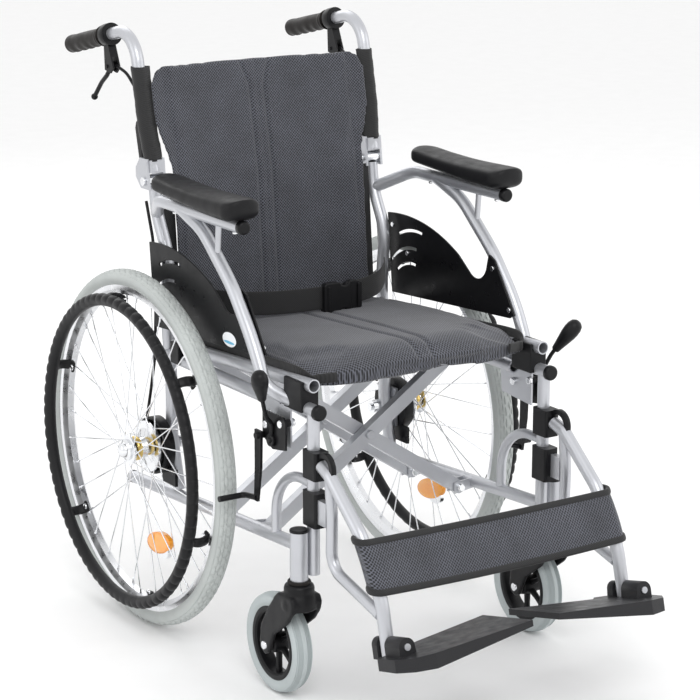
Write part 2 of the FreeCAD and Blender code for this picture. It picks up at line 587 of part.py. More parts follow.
# ================= back: canes, handles, brake levers =================
CANE_TOP_CORNER = (HANDLE_X, 81.6, 936.0)


def along_handle(back):
    """Height of the push-handle's centre line."""
    return CANE_TOP_CORNER[2] - HANDLE_DROP * (back - CANE_TOP_CORNER[1])


def along_cane(up):
    """Back position of the upper cane's centre line."""
    return CANE_TOP_CORNER[1] - 0.211 * (CANE_TOP_CORNER[2] - up)


def back(name):
    side, out = SIDES[name], OUT[name]

    def p(*point):
        return at(side, *point)

    cane = tube([p(CANE_X + 2, along_cane(717.0), 717.0), p(HANDLE_X, along_cane(800.0), 800.0),
                 p(*CANE_TOP_CORNER), p(HANDLE_X, GRIP_END - 8.0, along_handle(GRIP_END - 8.0))],
                radius=[400.0, 52.0])
    ear = [(HINGE_Y - 14, 690.0), (HINGE_Y + 12, 690.0), (LATCH_PIVOT[0] + 7, 706.0),
           (LATCH_PIVOT[0] + 7, 721.0), (HINGE_Y + 14, 738.0), (HINGE_Y - 8, 738.0)]
    bracket = slab_at(side, CANE_X - 14, ear, 4.0)
    other = slab_at(side, CANE_X + 14, ear, 4.0)
    hole = cylinder(p(CANE_X - 30, HINGE_Y, HINGE_Z), p(CANE_X + 30, HINGE_Y, HINGE_Z), 4.0 + FIT)
    latch_pin = cylinder(p(CANE_X - 16, *LATCH_PIVOT), p(CANE_X + 16, *LATCH_PIVOT), 3.0)
    web = box(side, (CANE_X - 12.0, CANE_X + 12.0), (HINGE_Y - 12.0, HINGE_Y + 12.0), (716.0, 736.0))
    web = web.cut(cane[0])
    ears = [bracket.cut(hole).cut(latch_pin), other.cut(hole).cut(latch_pin), latch_pin]
    add("back_cane_" + name, [cane[0].cut(cane[1]).cut(bracket).cut(other)] + ears
        + [max(web.Solids, key=lambda solid: solid.Volume)])

    # hinge pin, fixed in the lower cane
    pin = cylinder(p(CANE_X - 18, HINGE_Y, HINGE_Z), p(CANE_X + 18, HINGE_Y, HINGE_Z), 4.0)
    knuckle = cylinder(p(CANE_X - 11.5, HINGE_Y, HINGE_Z), p(CANE_X + 11.5, HINGE_Y, HINGE_Z), 10.0)
    knuckle = knuckle.cut(outer_tubes[name][2])
    heads = [bolt_head(p(CANE_X + 16.3, HINGE_Y, HINGE_Z), out, 7.0, 4.0),
             bolt_head(p(CANE_X - 16.3, HINGE_Y, HINGE_Z), out * -1, 7.0, 4.0)]
    add("frame_bolts_" + name, pin.fuse([max(knuckle.Solids, key=lambda s: s.Volume)] + heads)
        .removeSplitter())

    # grip, closed at its rear end
    grip_start, grip_end = 180.0, GRIP_END
    start = p(HANDLE_X, grip_start, along_handle(grip_start))
    end = p(HANDLE_X, grip_end, along_handle(grip_end))
    grip = cylinder(start, end, GRIP_R)
    collar = cylinder(start, start + (end - start).normalize() * 5.0, 18.5)
    grip = grip.fuse(collar).removeSplitter().cut(cane[0])
    add("hand_grip_" + name, grip)

    # brake lever perch: a clamp ring and an arm that reaches down to the pivot
    clamp = 164.0
    axis = (end - start).normalize()
    centre = p(HANDLE_X, clamp, along_handle(clamp))
    perch = ring(centre, axis, 18.0, 10.0, 16.0)
    stalk = slab_at(side, HANDLE_X, [(158.0, 904.0), (172.0, 901.0), (170.0, 862.0), (152.0, 858.0),
                                     (142.0, 868.0)], 14.0)
    pivot = BRAKE_PIVOT
    slot = box(side, (HANDLE_X - 3.8, HANDLE_X + 3.8), (130.0, 200.0), (845.0, 884.0))
    perch = perch.fuse(stalk).cut(slot).cut(cane[0]).removeSplitter()
    perch_pin = cylinder(p(HANDLE_X - 9.0, *pivot), p(HANDLE_X + 9.0, *pivot), 3.0)
    perch = perch.fuse(perch_pin).removeSplitter()
    upper_cable = rod([p(HANDLE_X, 144.0, 871.0), p(HANDLE_X - 4, 116.0, 862.0),
                       p(HANDLE_X - 14, 98.0, 832.0), p(HANDLE_X - 21, 82.0, 786.0),
                       p(HANDLE_X - 21, 72.0, 744.0)], CABLE, [26.0, 50.0, 90.0])
    add("brake_perch_" + name, [perch, upper_cable.cut(perch)])

    lever = rod([p(HANDLE_X, pivot[0] - 4, pivot[1] + 4), p(HANDLE_X, 176.0, 852.0),
                 p(HANDLE_X, 196.0, 838.0), p(HANDLE_X, 222.0, 812.0)], 7.2, [30.0, 60.0])
    eye = cylinder(p(HANDLE_X - 3.5, *pivot), p(HANDLE_X + 3.5, *pivot), 8.0)
    tip = Part.makeSphere(5.5, p(HANDLE_X, 222.0, 812.0))
    hole = cylinder(p(HANDLE_X - 20, *pivot), p(HANDLE_X + 20, *pivot), 3.0 + FIT)
    lever = lever.fuse([eye, tip]).cut(hole)
    add("brake_lever_" + name, lever.removeSplitter())

    # back-fold release lever behind the cane
    latch = slab_at(side, CANE_X, [(56.0, 710.0), (67.0, 710.0), (84.0, 780.0), (80.0, 792.0),
                                   (68.0, 788.0)], 16.0)
    latch = rounded(latch, 2.5)
    add("back_latch_" + name, latch.cut(cylinder(p(CANE_X - 16, *LATCH_PIVOT), p(CANE_X + 16, *LATCH_PIVOT),
                                                 3.0 + FIT)))


for name in SIDES:
    back(name)

# ================= parking brakes =================


def parking_brake(name):
    side, out = SIDES[name], OUT[name]

    def p(*point):
        return at(side, *point)

    base = RAIL_X + 27.0 + GAP
    hub = cylinder(p(base, *LEVER_PIVOT), p(base + 5.0, *LEVER_PIVOT), 9.0)
    shaft = rod([p(base + 3.2, *LEVER_PIVOT), p(base + 3.2, -372.0, 410.0), p(base + 16.0, -378.0, 426.0),
                 p(base + 26.0, -386.0, 450.0)], 6.0, [12.0, 14.0])
    grip_start, grip_end = p(base + 24.0, -384.4, 444.8), p(281.0, -412.0, 494.0)
    grip = Part.makeCone(8.5, 11.5, (grip_end - grip_start).Length, grip_start, grip_end - grip_start)
    tip = Part.makeSphere(11.5, grip_end)
    lever = hub.fuse([shaft, grip, tip]).removeSplitter()
    add("parking_brake_lever_" + name, lever)

    arm = slab_at(side, base + 8.0, [(-334.0, 396.0), (-352.0, 396.0), (-350.0, 340.0), (-341.0, 286.0),
                                     (-331.0, 286.0), (-334.0, 340.0)], 4.0)
    reach = rod([p(base + 8.0, -337.0, 291.0), p(base + 8.0, -301.0, 286.0),
                 p(base + 52.0, -301.0, 286.0)], 9.0, 9.0)
    pivot = cylinder(p(base, *SHOE_PIVOT), p(base + 14.0, *SHOE_PIVOT), 5.0)
    add("parking_brake_shoe_" + name, arm.fuse([reach, pivot]).removeSplitter())


for name in SIDES:
    parking_brake(name)

# ================= legrests =================


def to_foot(side, shape):
    """Move a shape from the footplate's own axes to its pin on the hanger tube."""
    moved = shape.copy()
    moved.rotate(Vector(0, 0, 0), Vector(1, 0, 0), -FOOT_TILT * 180 / pi)
    moved.translate(at(side, HANGER_X, FOOT_PIN_BACK, FOOT_PIN_Z))
    return moved


def legrest(name):
    side, out = SIDES[name], OUT[name]

    def p(*point):
        return at(side, *point)

    def on_foot_line(up):
        return p(HANGER_X, FOOT_PIN_BACK + (up - FOOT_PIN_Z) * tan(FOOT_TILT), up)

    main = tube([p(POST_X + 1, -462.0, 366.0), p(HANGER_X, -486.0, 358.0), p(HANGER_X, -566.0, 292.0),
                 on_foot_line(214.0), on_foot_line(122.0)], radius=[10.0, 60.0, 120.0])
    second = tube([p(HANGER_X, -486.0, 352.0), p(HANGER_X, -492.0, 300.0), p(HANGER_X, -490.0, 222.0),
                   p(HANGER_X, -617.0, 190.0)], 17.0, radius=[120.0, 34.0])
    saddles = []
    for low, high in ((343.0, 385.0), (272.0, 324.0)):
        block = box(side, (POST_X - 12.5, POST_X + 12.5), (POST_Y - 24.0, POST_Y + 12.0), (low, high))
        block = rounded(block, 4.0, lambda edge: abs(edge.tangentAt(edge.FirstParameter).z) > 0.9)
        post_hole = cylinder(p(POST_X, POST_Y, low - 5), p(POST_X, POST_Y, high + 5), 9.5 + FIT)
        block = block.cut(post_hole)
        saddles.append(block)
    welded = weld([main, second])
    bridge = box(side, (HANGER_X - 5.0, HANGER_X + 5.0), (-482.5, POST_Y - 24.0), (280.0, 316.0))
    bridge = bridge.cut(second[0]).cut(main[0])
    foot_pin = to_foot(side, cylinder(Vector(0, -52.0, 0), Vector(0, 25.0, 0), 5.0))
    welded = [max(shape.cut(saddles[0]).cut(saddles[1]).cut(foot_pin).Solids, key=lambda s: s.Volume)
              for shape in welded]
    add("hanger_" + name, welded + [max(bridge.Solids, key=lambda s: s.Volume)]
        + [foot_pin])
    add("hanger_saddles_" + name, saddles)

    # release hook that closes over the head of the hanger
    outer = Part.makeCylinder(23.0, 8.0, p(HANGER_X - 4, -474.0, 366.0), Vector(side, 0, 0))
    inner = Part.makeCylinder(15.4, 8.0, p(HANGER_X - 4, -474.0, 366.0), Vector(side, 0, 0))
    keep = box(side, (HANGER_X - 6, HANGER_X + 6), (-500.0, -462.2), (352.0, 392.0))
    hook = outer.cut(inner).common(keep)
    hook = hook.cut(main[0])
    add("hanger_latch_" + name, max(hook.Solids, key=lambda s: s.Volume))

    # footplate: a wedge, deep at the hanger and thin at the middle of the chair, that
    # turns on the pin in a knuckle ahead of the hanger tube and one behind it
    tip = HANGER_X - FOOT_TIP
    wedge = [(-27.0, -13.0), (tip, -11.0 + FOOT_RISE * tip), (tip, -20.0 + FOOT_RISE * tip),
             (20.0, -FOOT_FRONT_DEPTH), (-27.0, -FOOT_FRONT_DEPTH)]
    low = [Vector(-side * u, 40.0, n) for u, n in wedge]
    body = Part.Face(Part.makePolygon(low + [low[0]])).extrude(Vector(0, -FOOT_REACH - 40.0, 0))
    trims = [(tip, -32.0), (50.0, -9.0), (36.0, -26.0), (12.0, -26.0), (12.0, 12.0), (-27.0, 12.0),
             (-27.0, 56.0), (-10.0, 80.0), (20.0, FOOT_REACH), (tip, FOOT_REACH)]
    shadow = [Vector(-side * u, -f, -60.0) for u, f in trims]
    body = body.common(Part.Face(Part.makePolygon(shadow + [shadow[0]])).extrude(Vector(0, 0, 120.0)))
    knuckles = []
    for first, last, radius in ((12.0, 50.0, 13.0), (-24.0, -11.0, 11.0)):
        start, end = Vector(0, -first, 0), Vector(0, -last, 0)
        # the block's inner side leans, so that the tread meets it at a right angle or more
        foot = [(-radius, -20.0), (-radius, 0.0), (radius, 0.0), (radius + 2.2, -20.0)]
        corners = [Vector(-side * u, -first, n) for u, n in foot]
        block = Part.Face(Part.makePolygon(corners + [corners[0]])).extrude(end - start)
        knuckles += [cylinder(start, end, radius), block]
    arm = Part.makeBox(26.0, 13.0, 14.0, Vector(0 if side < 0 else -26.0, 11.0, -25.0))
    body = body.fuse(knuckles + [arm]).removeSplitter()
    body = body.cut(cylinder(Vector(0, -80.0, 0), Vector(0, 40.0, 0), 5.0 + FIT))
    body = body.cut(cylinder(Vector(0, 0, -80.0), Vector(0, 0, 80.0), TUBE / 2 + 1.0))
    add("footplate_" + name, to_foot(side, max(body.Solids, key=lambda s: s.Volume)))


for name in SIDES:
    legrest(name)


# ================= fabrics =================
def loft(sections):
    """A closed solid through a row of closed rectangular sections."""
    wires = [Part.makePolygon(list(section) + [section[0]]) for section in sections]
    return Part.makeLoft(wires, True, True)


# seat: a padded sling drawn tight over the seat tubes
SEAT_FRONT, SEAT_BACK = -440.0, -22.0
SEAT_THICK = 18.0
SEAT_SECTIONS = ((-1.0, 10.6), (-0.5, 12.0), (0.0, 12.6), (0.5, 12.0), (1.0, 10.6))
sections = []
for share, rise in SEAT_SECTIONS:
    x = share * 200.0
    front = SEAT_FRONT + 40.0 * abs(share) ** 3
    low_f, low_b = tilt_z(SEAT_AT_AXLE, front) + rise, tilt_z(SEAT_AT_AXLE, SEAT_BACK) + rise
    sections.append([Vector(x, front + AXLE_Y, low_f), Vector(x, SEAT_BACK + AXLE_Y, low_b),
                     Vector(x, SEAT_BACK + AXLE_Y, low_b + SEAT_THICK),
                     Vector(x, front + AXLE_Y, low_f + SEAT_THICK)])
add("seat", loft(sections))

# back: two padded slings that meet at the back's hinge line
BACK_HALF, BACK_THICK, BACK_SAG = 180.0, 9.0, 14.0
BACK_LOW = 474.0


def back_lean(up):
    """Back position of the back sling's edge at one height."""
    if up > HINGE_Z:
        return along_cane(up) - 8.0
    return 4.0 + (along_cane(HINGE_Z) - 12.0) * (up - BACK_LOW) / (HINGE_Z - BACK_LOW)


for node, low, high in (("back_lower", BACK_LOW, HINGE_Z - 1.0), ("back_upper", HINGE_Z + 1.0, BACK_TOP)):
    sections = []
    for share in (-1.0, -0.5, 0.0, 0.5, 1.0):
        sag = BACK_SAG * (1 - share * share)
        sections.append([Vector(share * BACK_HALF, back_lean(up) + sag + thick + AXLE_Y, up)
                         for up, thick in ((low, 0.0), (low, BACK_THICK), (high, BACK_THICK), (high, 0.0))])
    add(node, loft(sections))

# lap belt across the seat, with its buckle
BELT_Z = 500.0
path = [(-190.0, -28.0), (-120.0, -96.0), (0.0, -122.0), (120.0, -96.0), (190.0, -28.0)]
belt = []
for first, last in zip(path, path[1:]):
    a, b = Vector(first[0], first[1] + AXLE_Y, BELT_Z), Vector(last[0], last[1] + AXLE_Y, BELT_Z)
    across = Vector(0, 0, 1).cross(b - a).normalize() * 2.0
    quad = [a - across, b - across, b + across, a + across]
    belt.append(Part.Face(Part.makePolygon(quad + [quad[0]])).extrude(Vector(0, 0, 38.0)))
belt_solid = belt[0].fuse(belt[1:]).removeSplitter()
buckle = box(1.0, (8.0, 70.0), (-132.0, -114.0), (BELT_Z - 4.0, BELT_Z + 44.0))
buckle = rounded(buckle, 5.0)
add("lap_belt", belt_solid.cut(buckle))
add("belt_buckle", buckle)

# calf strap across the front of the two hangers, leaning with their tubes
STRAP_TOP, STRAP_LOW = (-573.0, 283.0), (-615.0, 217.0)
STRAP_THICK, STRAP_HALF = 5.0, 222.0
slope = Vector(0, STRAP_TOP[0] - STRAP_LOW[0], STRAP_TOP[1] - STRAP_LOW[1]).normalize()
ahead = Vector(0, -slope.z, slope.y)
face = [at(1, -STRAP_HALF, *STRAP_LOW), at(1, -STRAP_HALF, *STRAP_TOP)]
face = [point + ahead * (TUBE / 2 + 1.5) for point in face]
face += [point + ahead * STRAP_THICK for point in reversed(face)]
strap = Part.Face(Part.makePolygon(face + [face[0]])).extrude(Vector(2 * STRAP_HALF, 0, 0))
add("calf_strap", strap)

os.makedirs("parts", exist_ok=True)
low_y, high_y = 1e9, -1e9
for name, solids in sorted(parts.items()):
    shape = solids[0] if len(solids) == 1 else Part.makeCompound(solids)
    low_y, high_y = min(low_y, shape.BoundBox.YMin), max(high_y, shape.BoundBox.YMax)
    shape.exportStep("parts/" + name + ".step")
    print(name, len(solids), "solids", "valid" if shape.isValid() else "INVALID", round(shape.Volume))
print(len(parts), "nodes; box middle in Y:", round((low_y + high_y) / 2, 3))
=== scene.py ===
import bmesh
import bpy
import json
from math import cos, exp, pi, radians, sin, sqrt
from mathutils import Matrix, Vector


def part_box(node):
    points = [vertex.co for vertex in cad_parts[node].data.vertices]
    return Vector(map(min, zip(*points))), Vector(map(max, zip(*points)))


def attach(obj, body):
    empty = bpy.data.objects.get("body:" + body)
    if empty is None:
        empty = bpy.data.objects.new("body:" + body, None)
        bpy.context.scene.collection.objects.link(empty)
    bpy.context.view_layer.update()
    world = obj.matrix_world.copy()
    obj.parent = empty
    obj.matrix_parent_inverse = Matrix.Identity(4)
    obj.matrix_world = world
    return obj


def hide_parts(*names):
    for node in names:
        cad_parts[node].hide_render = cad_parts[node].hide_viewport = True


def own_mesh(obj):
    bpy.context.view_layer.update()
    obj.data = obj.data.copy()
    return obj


# Manual folding wheelchair. Places are (out, back, up) in millimetres: out from the middle
# plane, back from the rear axle and up from the floor. at() turns them into metres. Profiles
# for revolve() are (radius, offset along the axis) in millimetres.

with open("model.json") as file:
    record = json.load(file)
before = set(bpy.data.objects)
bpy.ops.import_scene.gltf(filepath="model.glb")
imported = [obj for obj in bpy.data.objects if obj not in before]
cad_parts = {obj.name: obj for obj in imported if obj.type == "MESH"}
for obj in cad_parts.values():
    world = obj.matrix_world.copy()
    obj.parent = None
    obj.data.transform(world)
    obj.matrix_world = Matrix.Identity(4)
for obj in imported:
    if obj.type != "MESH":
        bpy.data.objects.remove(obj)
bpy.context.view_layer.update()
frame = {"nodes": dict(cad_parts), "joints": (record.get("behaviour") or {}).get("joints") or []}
NODES = frame["nodes"]
JOINTS = {joint["name"]: joint for joint in frame["joints"]}
AXLE = Vector(JOINTS["rear_wheel_spin_left"]["pos_m"])
SIDES = {"right": -1.0, "left": 1.0}
MM = 0.001
scene = bpy.context.scene


def at(side, out, back, up):
    return Vector((side * out * MM, AXLE.y + back * MM, up * MM))


def joint_place(name):
    """A joint's (out, back, up) in millimetres."""
    place = Vector(JOINTS[name]["pos_m"])
    return abs(place.x) / MM, (place.y - AXLE.y) / MM, place.z / MM


def ease(value, low, high):
    """0 below low, 1 above high, and smooth between."""
    share = min(max((value - low) / (high - low), 0.0), 1.0)
    return share * share * (3 - 2 * share)


# ================= materials =================
def new_material(name):
    material = bpy.data.materials.new(name)
    material.use_nodes = True
    return material, material.node_tree.nodes, material.node_tree.links


def noise(nodes, links, coordinates, scale, detail=3.0, stretch=None):
    node = nodes.new("ShaderNodeTexNoise")
    node.inputs["Scale"].default_value = scale
    node.inputs["Detail"].default_value = detail
    source = coordinates
    if stretch:
        mapping = nodes.new("ShaderNodeMapping")
        mapping.inputs["Scale"].default_value = stretch
        links.new(coordinates, mapping.inputs["Vector"])
        source = mapping.outputs["Vector"]
    links.new(source, node.inputs["Vector"])
    return node.outputs["Fac"]


def ramp(nodes, links, factor, low, high, stops=(0.3, 0.7)):
    """A factor turned into a blend of two colours."""
    node = nodes.new("ShaderNodeValToRGB")
    node.color_ramp.elements[0].position, node.color_ramp.elements[1].position = stops
    node.color_ramp.elements[0].color = (*low, 1.0)
    node.color_ramp.elements[1].color = (*high, 1.0)
    links.new(factor, node.inputs["Fac"])
    return node.outputs["Color"]


def to_range(nodes, links, factor, low, high):
    node = nodes.new("ShaderNodeMapRange")
    node.inputs["From Min"].default_value = 0.3
    node.inputs["From Max"].default_value = 0.7
    node.inputs["To Min"].default_value = low
    node.inputs["To Max"].default_value = high
    links.new(factor, node.inputs["Value"])
    return node.outputs["Result"]


def bump(nodes, links, shader, height, strength, depth_mm):
    node = nodes.new("ShaderNodeBump")
    node.inputs["Strength"].default_value = strength
    node.inputs["Distance"].default_value = depth_mm * MM
    links.new(height, node.inputs["Height"])
    links.new(node.outputs["Normal"], shader.inputs["Normal"])


def surface(name, colour, rough, metallic=0.0, vary=0.12, spread=0.08, grain=900.0, relief=0.15,
            stretch=None, coat=0.0, sheen=0.0, specular=0.5):
    """A finish whose colour, roughness and fine relief all vary a little."""
    material, nodes, links = new_material(name)
    shader = nodes["Principled BSDF"]
    place = nodes.new("ShaderNodeTexCoord").outputs["Object"]
    broad = noise(nodes, links, place, 14.0, 4.0)
    low = [channel * (1 - vary) for channel in colour]
    high = [min(channel * (1 + vary), 1.0) for channel in colour]
    links.new(ramp(nodes, links, broad, low, high), shader.inputs["Base Color"])
    wear = noise(nodes, links, place, 60.0, 5.0)
    links.new(to_range(nodes, links, wear, rough - spread, rough + spread), shader.inputs["Roughness"])
    bump(nodes, links, shader, noise(nodes, links, place, grain, 2.0, stretch), relief, 0.3)
    shader.inputs["Metallic"].default_value = metallic
    shader.inputs["Specular IOR Level"].default_value = specular
    shader.inputs["Coat Weight"].default_value = coat
    shader.inputs["Coat Roughness"].default_value = 0.2
    shader.inputs["Sheen Weight"].default_value = sheen
    return material


MESH_PITCH = 3.5            # side of one cell of the mesh cloth, which is laid at 45 degrees


def flat_place(nodes, links, place, across, along):
    """Two of a place's axes, laid flat for a weave."""
    split = nodes.new("ShaderNodeSeparateXYZ")
    join = nodes.new("ShaderNodeCombineXYZ")
    links.new(place, split.inputs["Vector"])
    links.new(split.outputs[across], join.inputs["X"])
    links.new(split.outputs[along], join.inputs["Y"])
    return join.outputs["Vector"]


def air_mesh(name, across, along):
    """Knitted mesh: staggered rows of small dark holes between lighter threads."""
    material, nodes, links = new_material(name)
    shader = nodes["Principled BSDF"]
    place = nodes.new("ShaderNodeTexCoord").outputs["Object"]
    turn = nodes.new("ShaderNodeMapping")
    turn.inputs["Rotation"].default_value = (0, 0, radians(45))
    turn.inputs["Scale"].default_value = [1 / (MESH_PITCH * MM)] * 3
    links.new(flat_place(nodes, links, place, across, along), turn.inputs["Vector"])
    cells = nodes.new("ShaderNodeTexVoronoi")
    cells.voronoi_dimensions = "2D"
    cells.inputs["Scale"].default_value = 1.0
    cells.inputs["Randomness"].default_value = 0.12
    links.new(turn.outputs["Vector"], cells.inputs["Vector"])
    hole = cells.outputs["Distance"]
    threads = ramp(nodes, links, hole, (0.003, 0.003, 0.004), (0.110, 0.115, 0.140), (0.27, 0.52))
    shade = ramp(nodes, links, noise(nodes, links, place, 22.0, 4.0), (0.78, 0.78, 0.78), (1.1, 1.1, 1.1))
    mix = nodes.new("ShaderNodeMix")
    mix.data_type, mix.blend_type = "RGBA", "MULTIPLY"
    mix.inputs["Factor"].default_value = 1.0
    links.new(threads, mix.inputs["A"])
    links.new(shade, mix.inputs["B"])
    links.new(mix.outputs["Result"], shader.inputs["Base Color"])
    bump(nodes, links, shader, hole, 0.55, 0.8)
    shader.inputs["Roughness"].default_value = 0.85
    shader.inputs["Sheen Weight"].default_value = 0.25
    return material


def woven(name, colour, across, along, pitch_mm):
    """Close-woven tape: fine slanting ribs."""
    material, nodes, links = new_material(name)
    shader = nodes["Principled BSDF"]
    place = nodes.new("ShaderNodeTexCoord").outputs["Object"]
    ribs = nodes.new("ShaderNodeTexWave")
    ribs.bands_direction = "DIAGONAL"
    ribs.inputs["Scale"].default_value = 0.3 / (pitch_mm * MM)
    ribs.inputs["Distortion"].default_value = 0.6
    links.new(flat_place(nodes, links, place, across, along), ribs.inputs["Vector"])
    low = [channel * 0.45 for channel in colour]
    links.new(ramp(nodes, links, ribs.outputs["Fac"], low, colour), shader.inputs["Base Color"])
    bump(nodes, links, shader, ribs.outputs["Fac"], 0.5, 0.5)
    shader.inputs["Roughness"].default_value = 0.72
    shader.inputs["Sheen Weight"].default_value = 0.15
    return material


def reflector_amber():
    """Moulded amber lens with a honeycomb of small prisms."""
    material, nodes, links = new_material("reflector_amber")
    shader = nodes["Principled BSDF"]
    place = nodes.new("ShaderNodeTexCoord").outputs["Object"]
    cells = nodes.new("ShaderNodeTexVoronoi")
    cells.inputs["Scale"].default_value = 380.0
    cells.inputs["Randomness"].default_value = 0.1
    links.new(place, cells.inputs["Vector"])
    colour = ramp(nodes, links, cells.outputs["Distance"], (1.0, 0.42, 0.010), (0.86, 0.25, 0.004))
    links.new(colour, shader.inputs["Base Color"])
    bump(nodes, links, shader, cells.outputs["Distance"], 0.6, 0.8)
    shader.inputs["Roughness"].default_value = 0.16
    shader.inputs["Coat Weight"].default_value = 1.0
    return material


SILVER = surface("silver_powder_coat", (0.52, 0.53, 0.56), 0.34, metallic=0.72, vary=0.03,
                 spread=0.04, grain=2600.0, relief=0.12, coat=0.25)
BLACK_PLASTIC = surface("black_plastic", (0.008, 0.008, 0.009), 0.38, grain=1500.0, relief=0.2,
                        specular=0.2)
CHARCOAL_PLASTIC = surface("charcoal_plastic", (0.022, 0.022, 0.024), 0.40, vary=0.05, grain=1300.0,
                           relief=0.28, specular=0.2)
GUARD_PLASTIC = surface("guard_plastic", (0.006, 0.006, 0.007), 0.34, vary=0.05, grain=500.0,
                        relief=0.06, specular=0.2)
BLACK_STEEL = surface("black_steel", (0.007, 0.007, 0.008), 0.32, grain=2000.0, relief=0.15,
                      specular=0.2)
CHROME = surface("chrome", (0.83, 0.84, 0.86), 0.14, metallic=1.0, vary=0.03, spread=0.05,
                 grain=700.0, relief=0.05)
ALLOY = surface("alloy", (0.80, 0.81, 0.83), 0.30, metallic=1.0, vary=0.04, grain=500.0,
                relief=0.14, stretch=(1.0, 0.08, 0.08))
TYRE_GREY = surface("grey_tyre", (0.47, 0.495, 0.485), 0.78, vary=0.07, grain=420.0, relief=0.35,
                    specular=0.2)
CASTER_GREY = surface("caster_grey", (0.44, 0.48, 0.485), 0.70, vary=0.05, grain=420.0, relief=0.25,
                      specular=0.2)
BLACK_RUBBER = surface("black_rubber", (0.013, 0.011, 0.010), 0.48, grain=800.0, relief=0.35,
                       specular=0.2)
RIM_RUBBER = surface("rim_rubber", (0.011, 0.011, 0.012), 0.42, grain=1100.0, relief=0.22,
                     specular=0.2)
PAD_SKIN = surface("pad_skin", (0.009, 0.009, 0.010), 0.42, vary=0.05, grain=650.0, relief=0.3,
                   specular=0.2)
YELLOW_ZINC = surface("yellow_zinc", (0.78, 0.57, 0.20), 0.30, metallic=1.0, vary=0.15)
LABEL_WHITE = surface("label_white", (0.82, 0.84, 0.86), 0.35, vary=0.03, grain=300.0, relief=0.04)
LABEL_BLUE = surface("label_blue", (0.12, 0.42, 0.62), 0.35, vary=0.05, grain=300.0, relief=0.04)
AMBER = reflector_amber()
MESH_UPRIGHT = air_mesh("air_mesh_upright", "X", "Z")
MESH_FLAT = air_mesh("air_mesh_flat", "X", "Y")
TAPE_UPRIGHT = woven("tape_upright", (0.011, 0.011, 0.012), "X", "Z", 1.6)
TAPE_FLAT = woven("tape_flat", (0.011, 0.011, 0.012), "X", "Y", 1.6)
TAPE_SIDE = woven("tape_side", (0.011, 0.011, 0.012), "Y", "Z", 1.6)


# ================= mesh helpers =================
def grid(rows, cols, point, wrap_rows=False, wrap_cols=False, caps=False):
    """Points and quads of a grid, with flat ends where caps is set."""
    verts = [point(i, j) for i in range(rows) for j in range(cols)]
    faces = []
    for i in range(rows if wrap_rows else rows - 1):
        for j in range(cols if wrap_cols else cols - 1):
            after, beside = (i + 1) % rows, (j + 1) % cols
            faces.append((i * cols + j, i * cols + beside, after * cols + beside, after * cols + j))
    if caps:
        faces.append(tuple(range(cols)))
        faces.append(tuple((rows - 1) * cols + j for j in range(cols)))
    return verts, faces


def revolve(centre, axis, profile, steps, shape=None, closed=True):
    """Turn (radius, offset) points in millimetres about an axis through centre."""
    axis = axis.normalized()
    first = axis.orthogonal().normalized() if abs(axis.x) < 0.99 else Vector((0, 1, 0))
    second = axis.cross(first)

    def point(i, j):
        angle = 2 * pi * i / steps
        radius, offset = profile[j]
        if shape:
            radius, offset = shape(angle, radius, offset)
        return centre + (first * cos(angle) + second * sin(angle)) * radius * MM + axis * offset * MM
    return grid(steps, len(profile), point, wrap_rows=True, wrap_cols=closed)


def curve_through(points, steps):
    """Evenly shared points on a smooth curve through the given ones."""
    padded = [points[0] * 2 - points[1]] + list(points) + [points[-1] * 2 - points[-2]]
    result = []
    for index in range(steps + 1):
        share = index / steps * (len(points) - 1)
        span = min(int(share), len(points) - 2)
        t = share - span
        a, b, c, d = padded[span:span + 4]
        result.append(b + (c - a) * (t / 2) + (a * 2 - b * 5 + c * 4 - d) * (t * t / 2)
                      + (b * 3 - a - c * 3 + d) * (t ** 3 / 2))
    return result


def sweep(path, section, up=Vector((0, 0, 1)), caps=True):
    """Carry a section, given as offsets in millimetres across and up, along a path."""
    frames = []
    for index, place in enumerate(path):
        before, after = path[max(index - 1, 0)], path[min(index + 1, len(path) - 1)]
        along = (after - before).normalized()
        rise = (up - along * up.dot(along)).normalized()
        frames.append((place, along.cross(rise), rise))
    sections = [section(index / (len(path) - 1)) for index in range(len(path))]

    def point(i, j):
        place, across, rise = frames[i]
        return place + across * sections[i][j][0] * MM + rise * sections[i][j][1] * MM
    return grid(len(path), len(sections[0]), point, wrap_cols=True, caps=caps)


def superellipse(width, height, power=2.6, count=24, drop=0.0):
    """A rounded-box section, width by height in millimetres."""
    points = []
    for index in range(count):
        angle = 2 * pi * index / count
        x, y = cos(angle), sin(angle)
        points.append((width / 2 * abs(x) ** (2 / power) * (1 if x > 0 else -1),
                       height / 2 * abs(y) ** (2 / power) * (1 if y > 0 else -1) + drop))
    return points


def joined(*meshes):
    verts, faces = [], []
    for more_verts, more_faces in meshes:
        base = len(verts)
        verts += more_verts
        faces += [tuple(index + base for index in face) for face in more_faces]
    return verts, faces


def prism(near, far):
    """A flat plate between two matching rings of points."""
    count = len(near)
    faces = [tuple(range(count)), tuple(range(count, 2 * count))]
    faces += [(j, (j + 1) % count, count + (j + 1) % count, count + j) for j in range(count)]
    return near + far, faces


def slab(side, out_near, out_far, outline):
    """A flat plate from an outline of (back, up) points, between two distances out."""
    return prism([at(side, out_near, *point) for point in outline],
                 [at(side, out_far, *point) for point in outline])


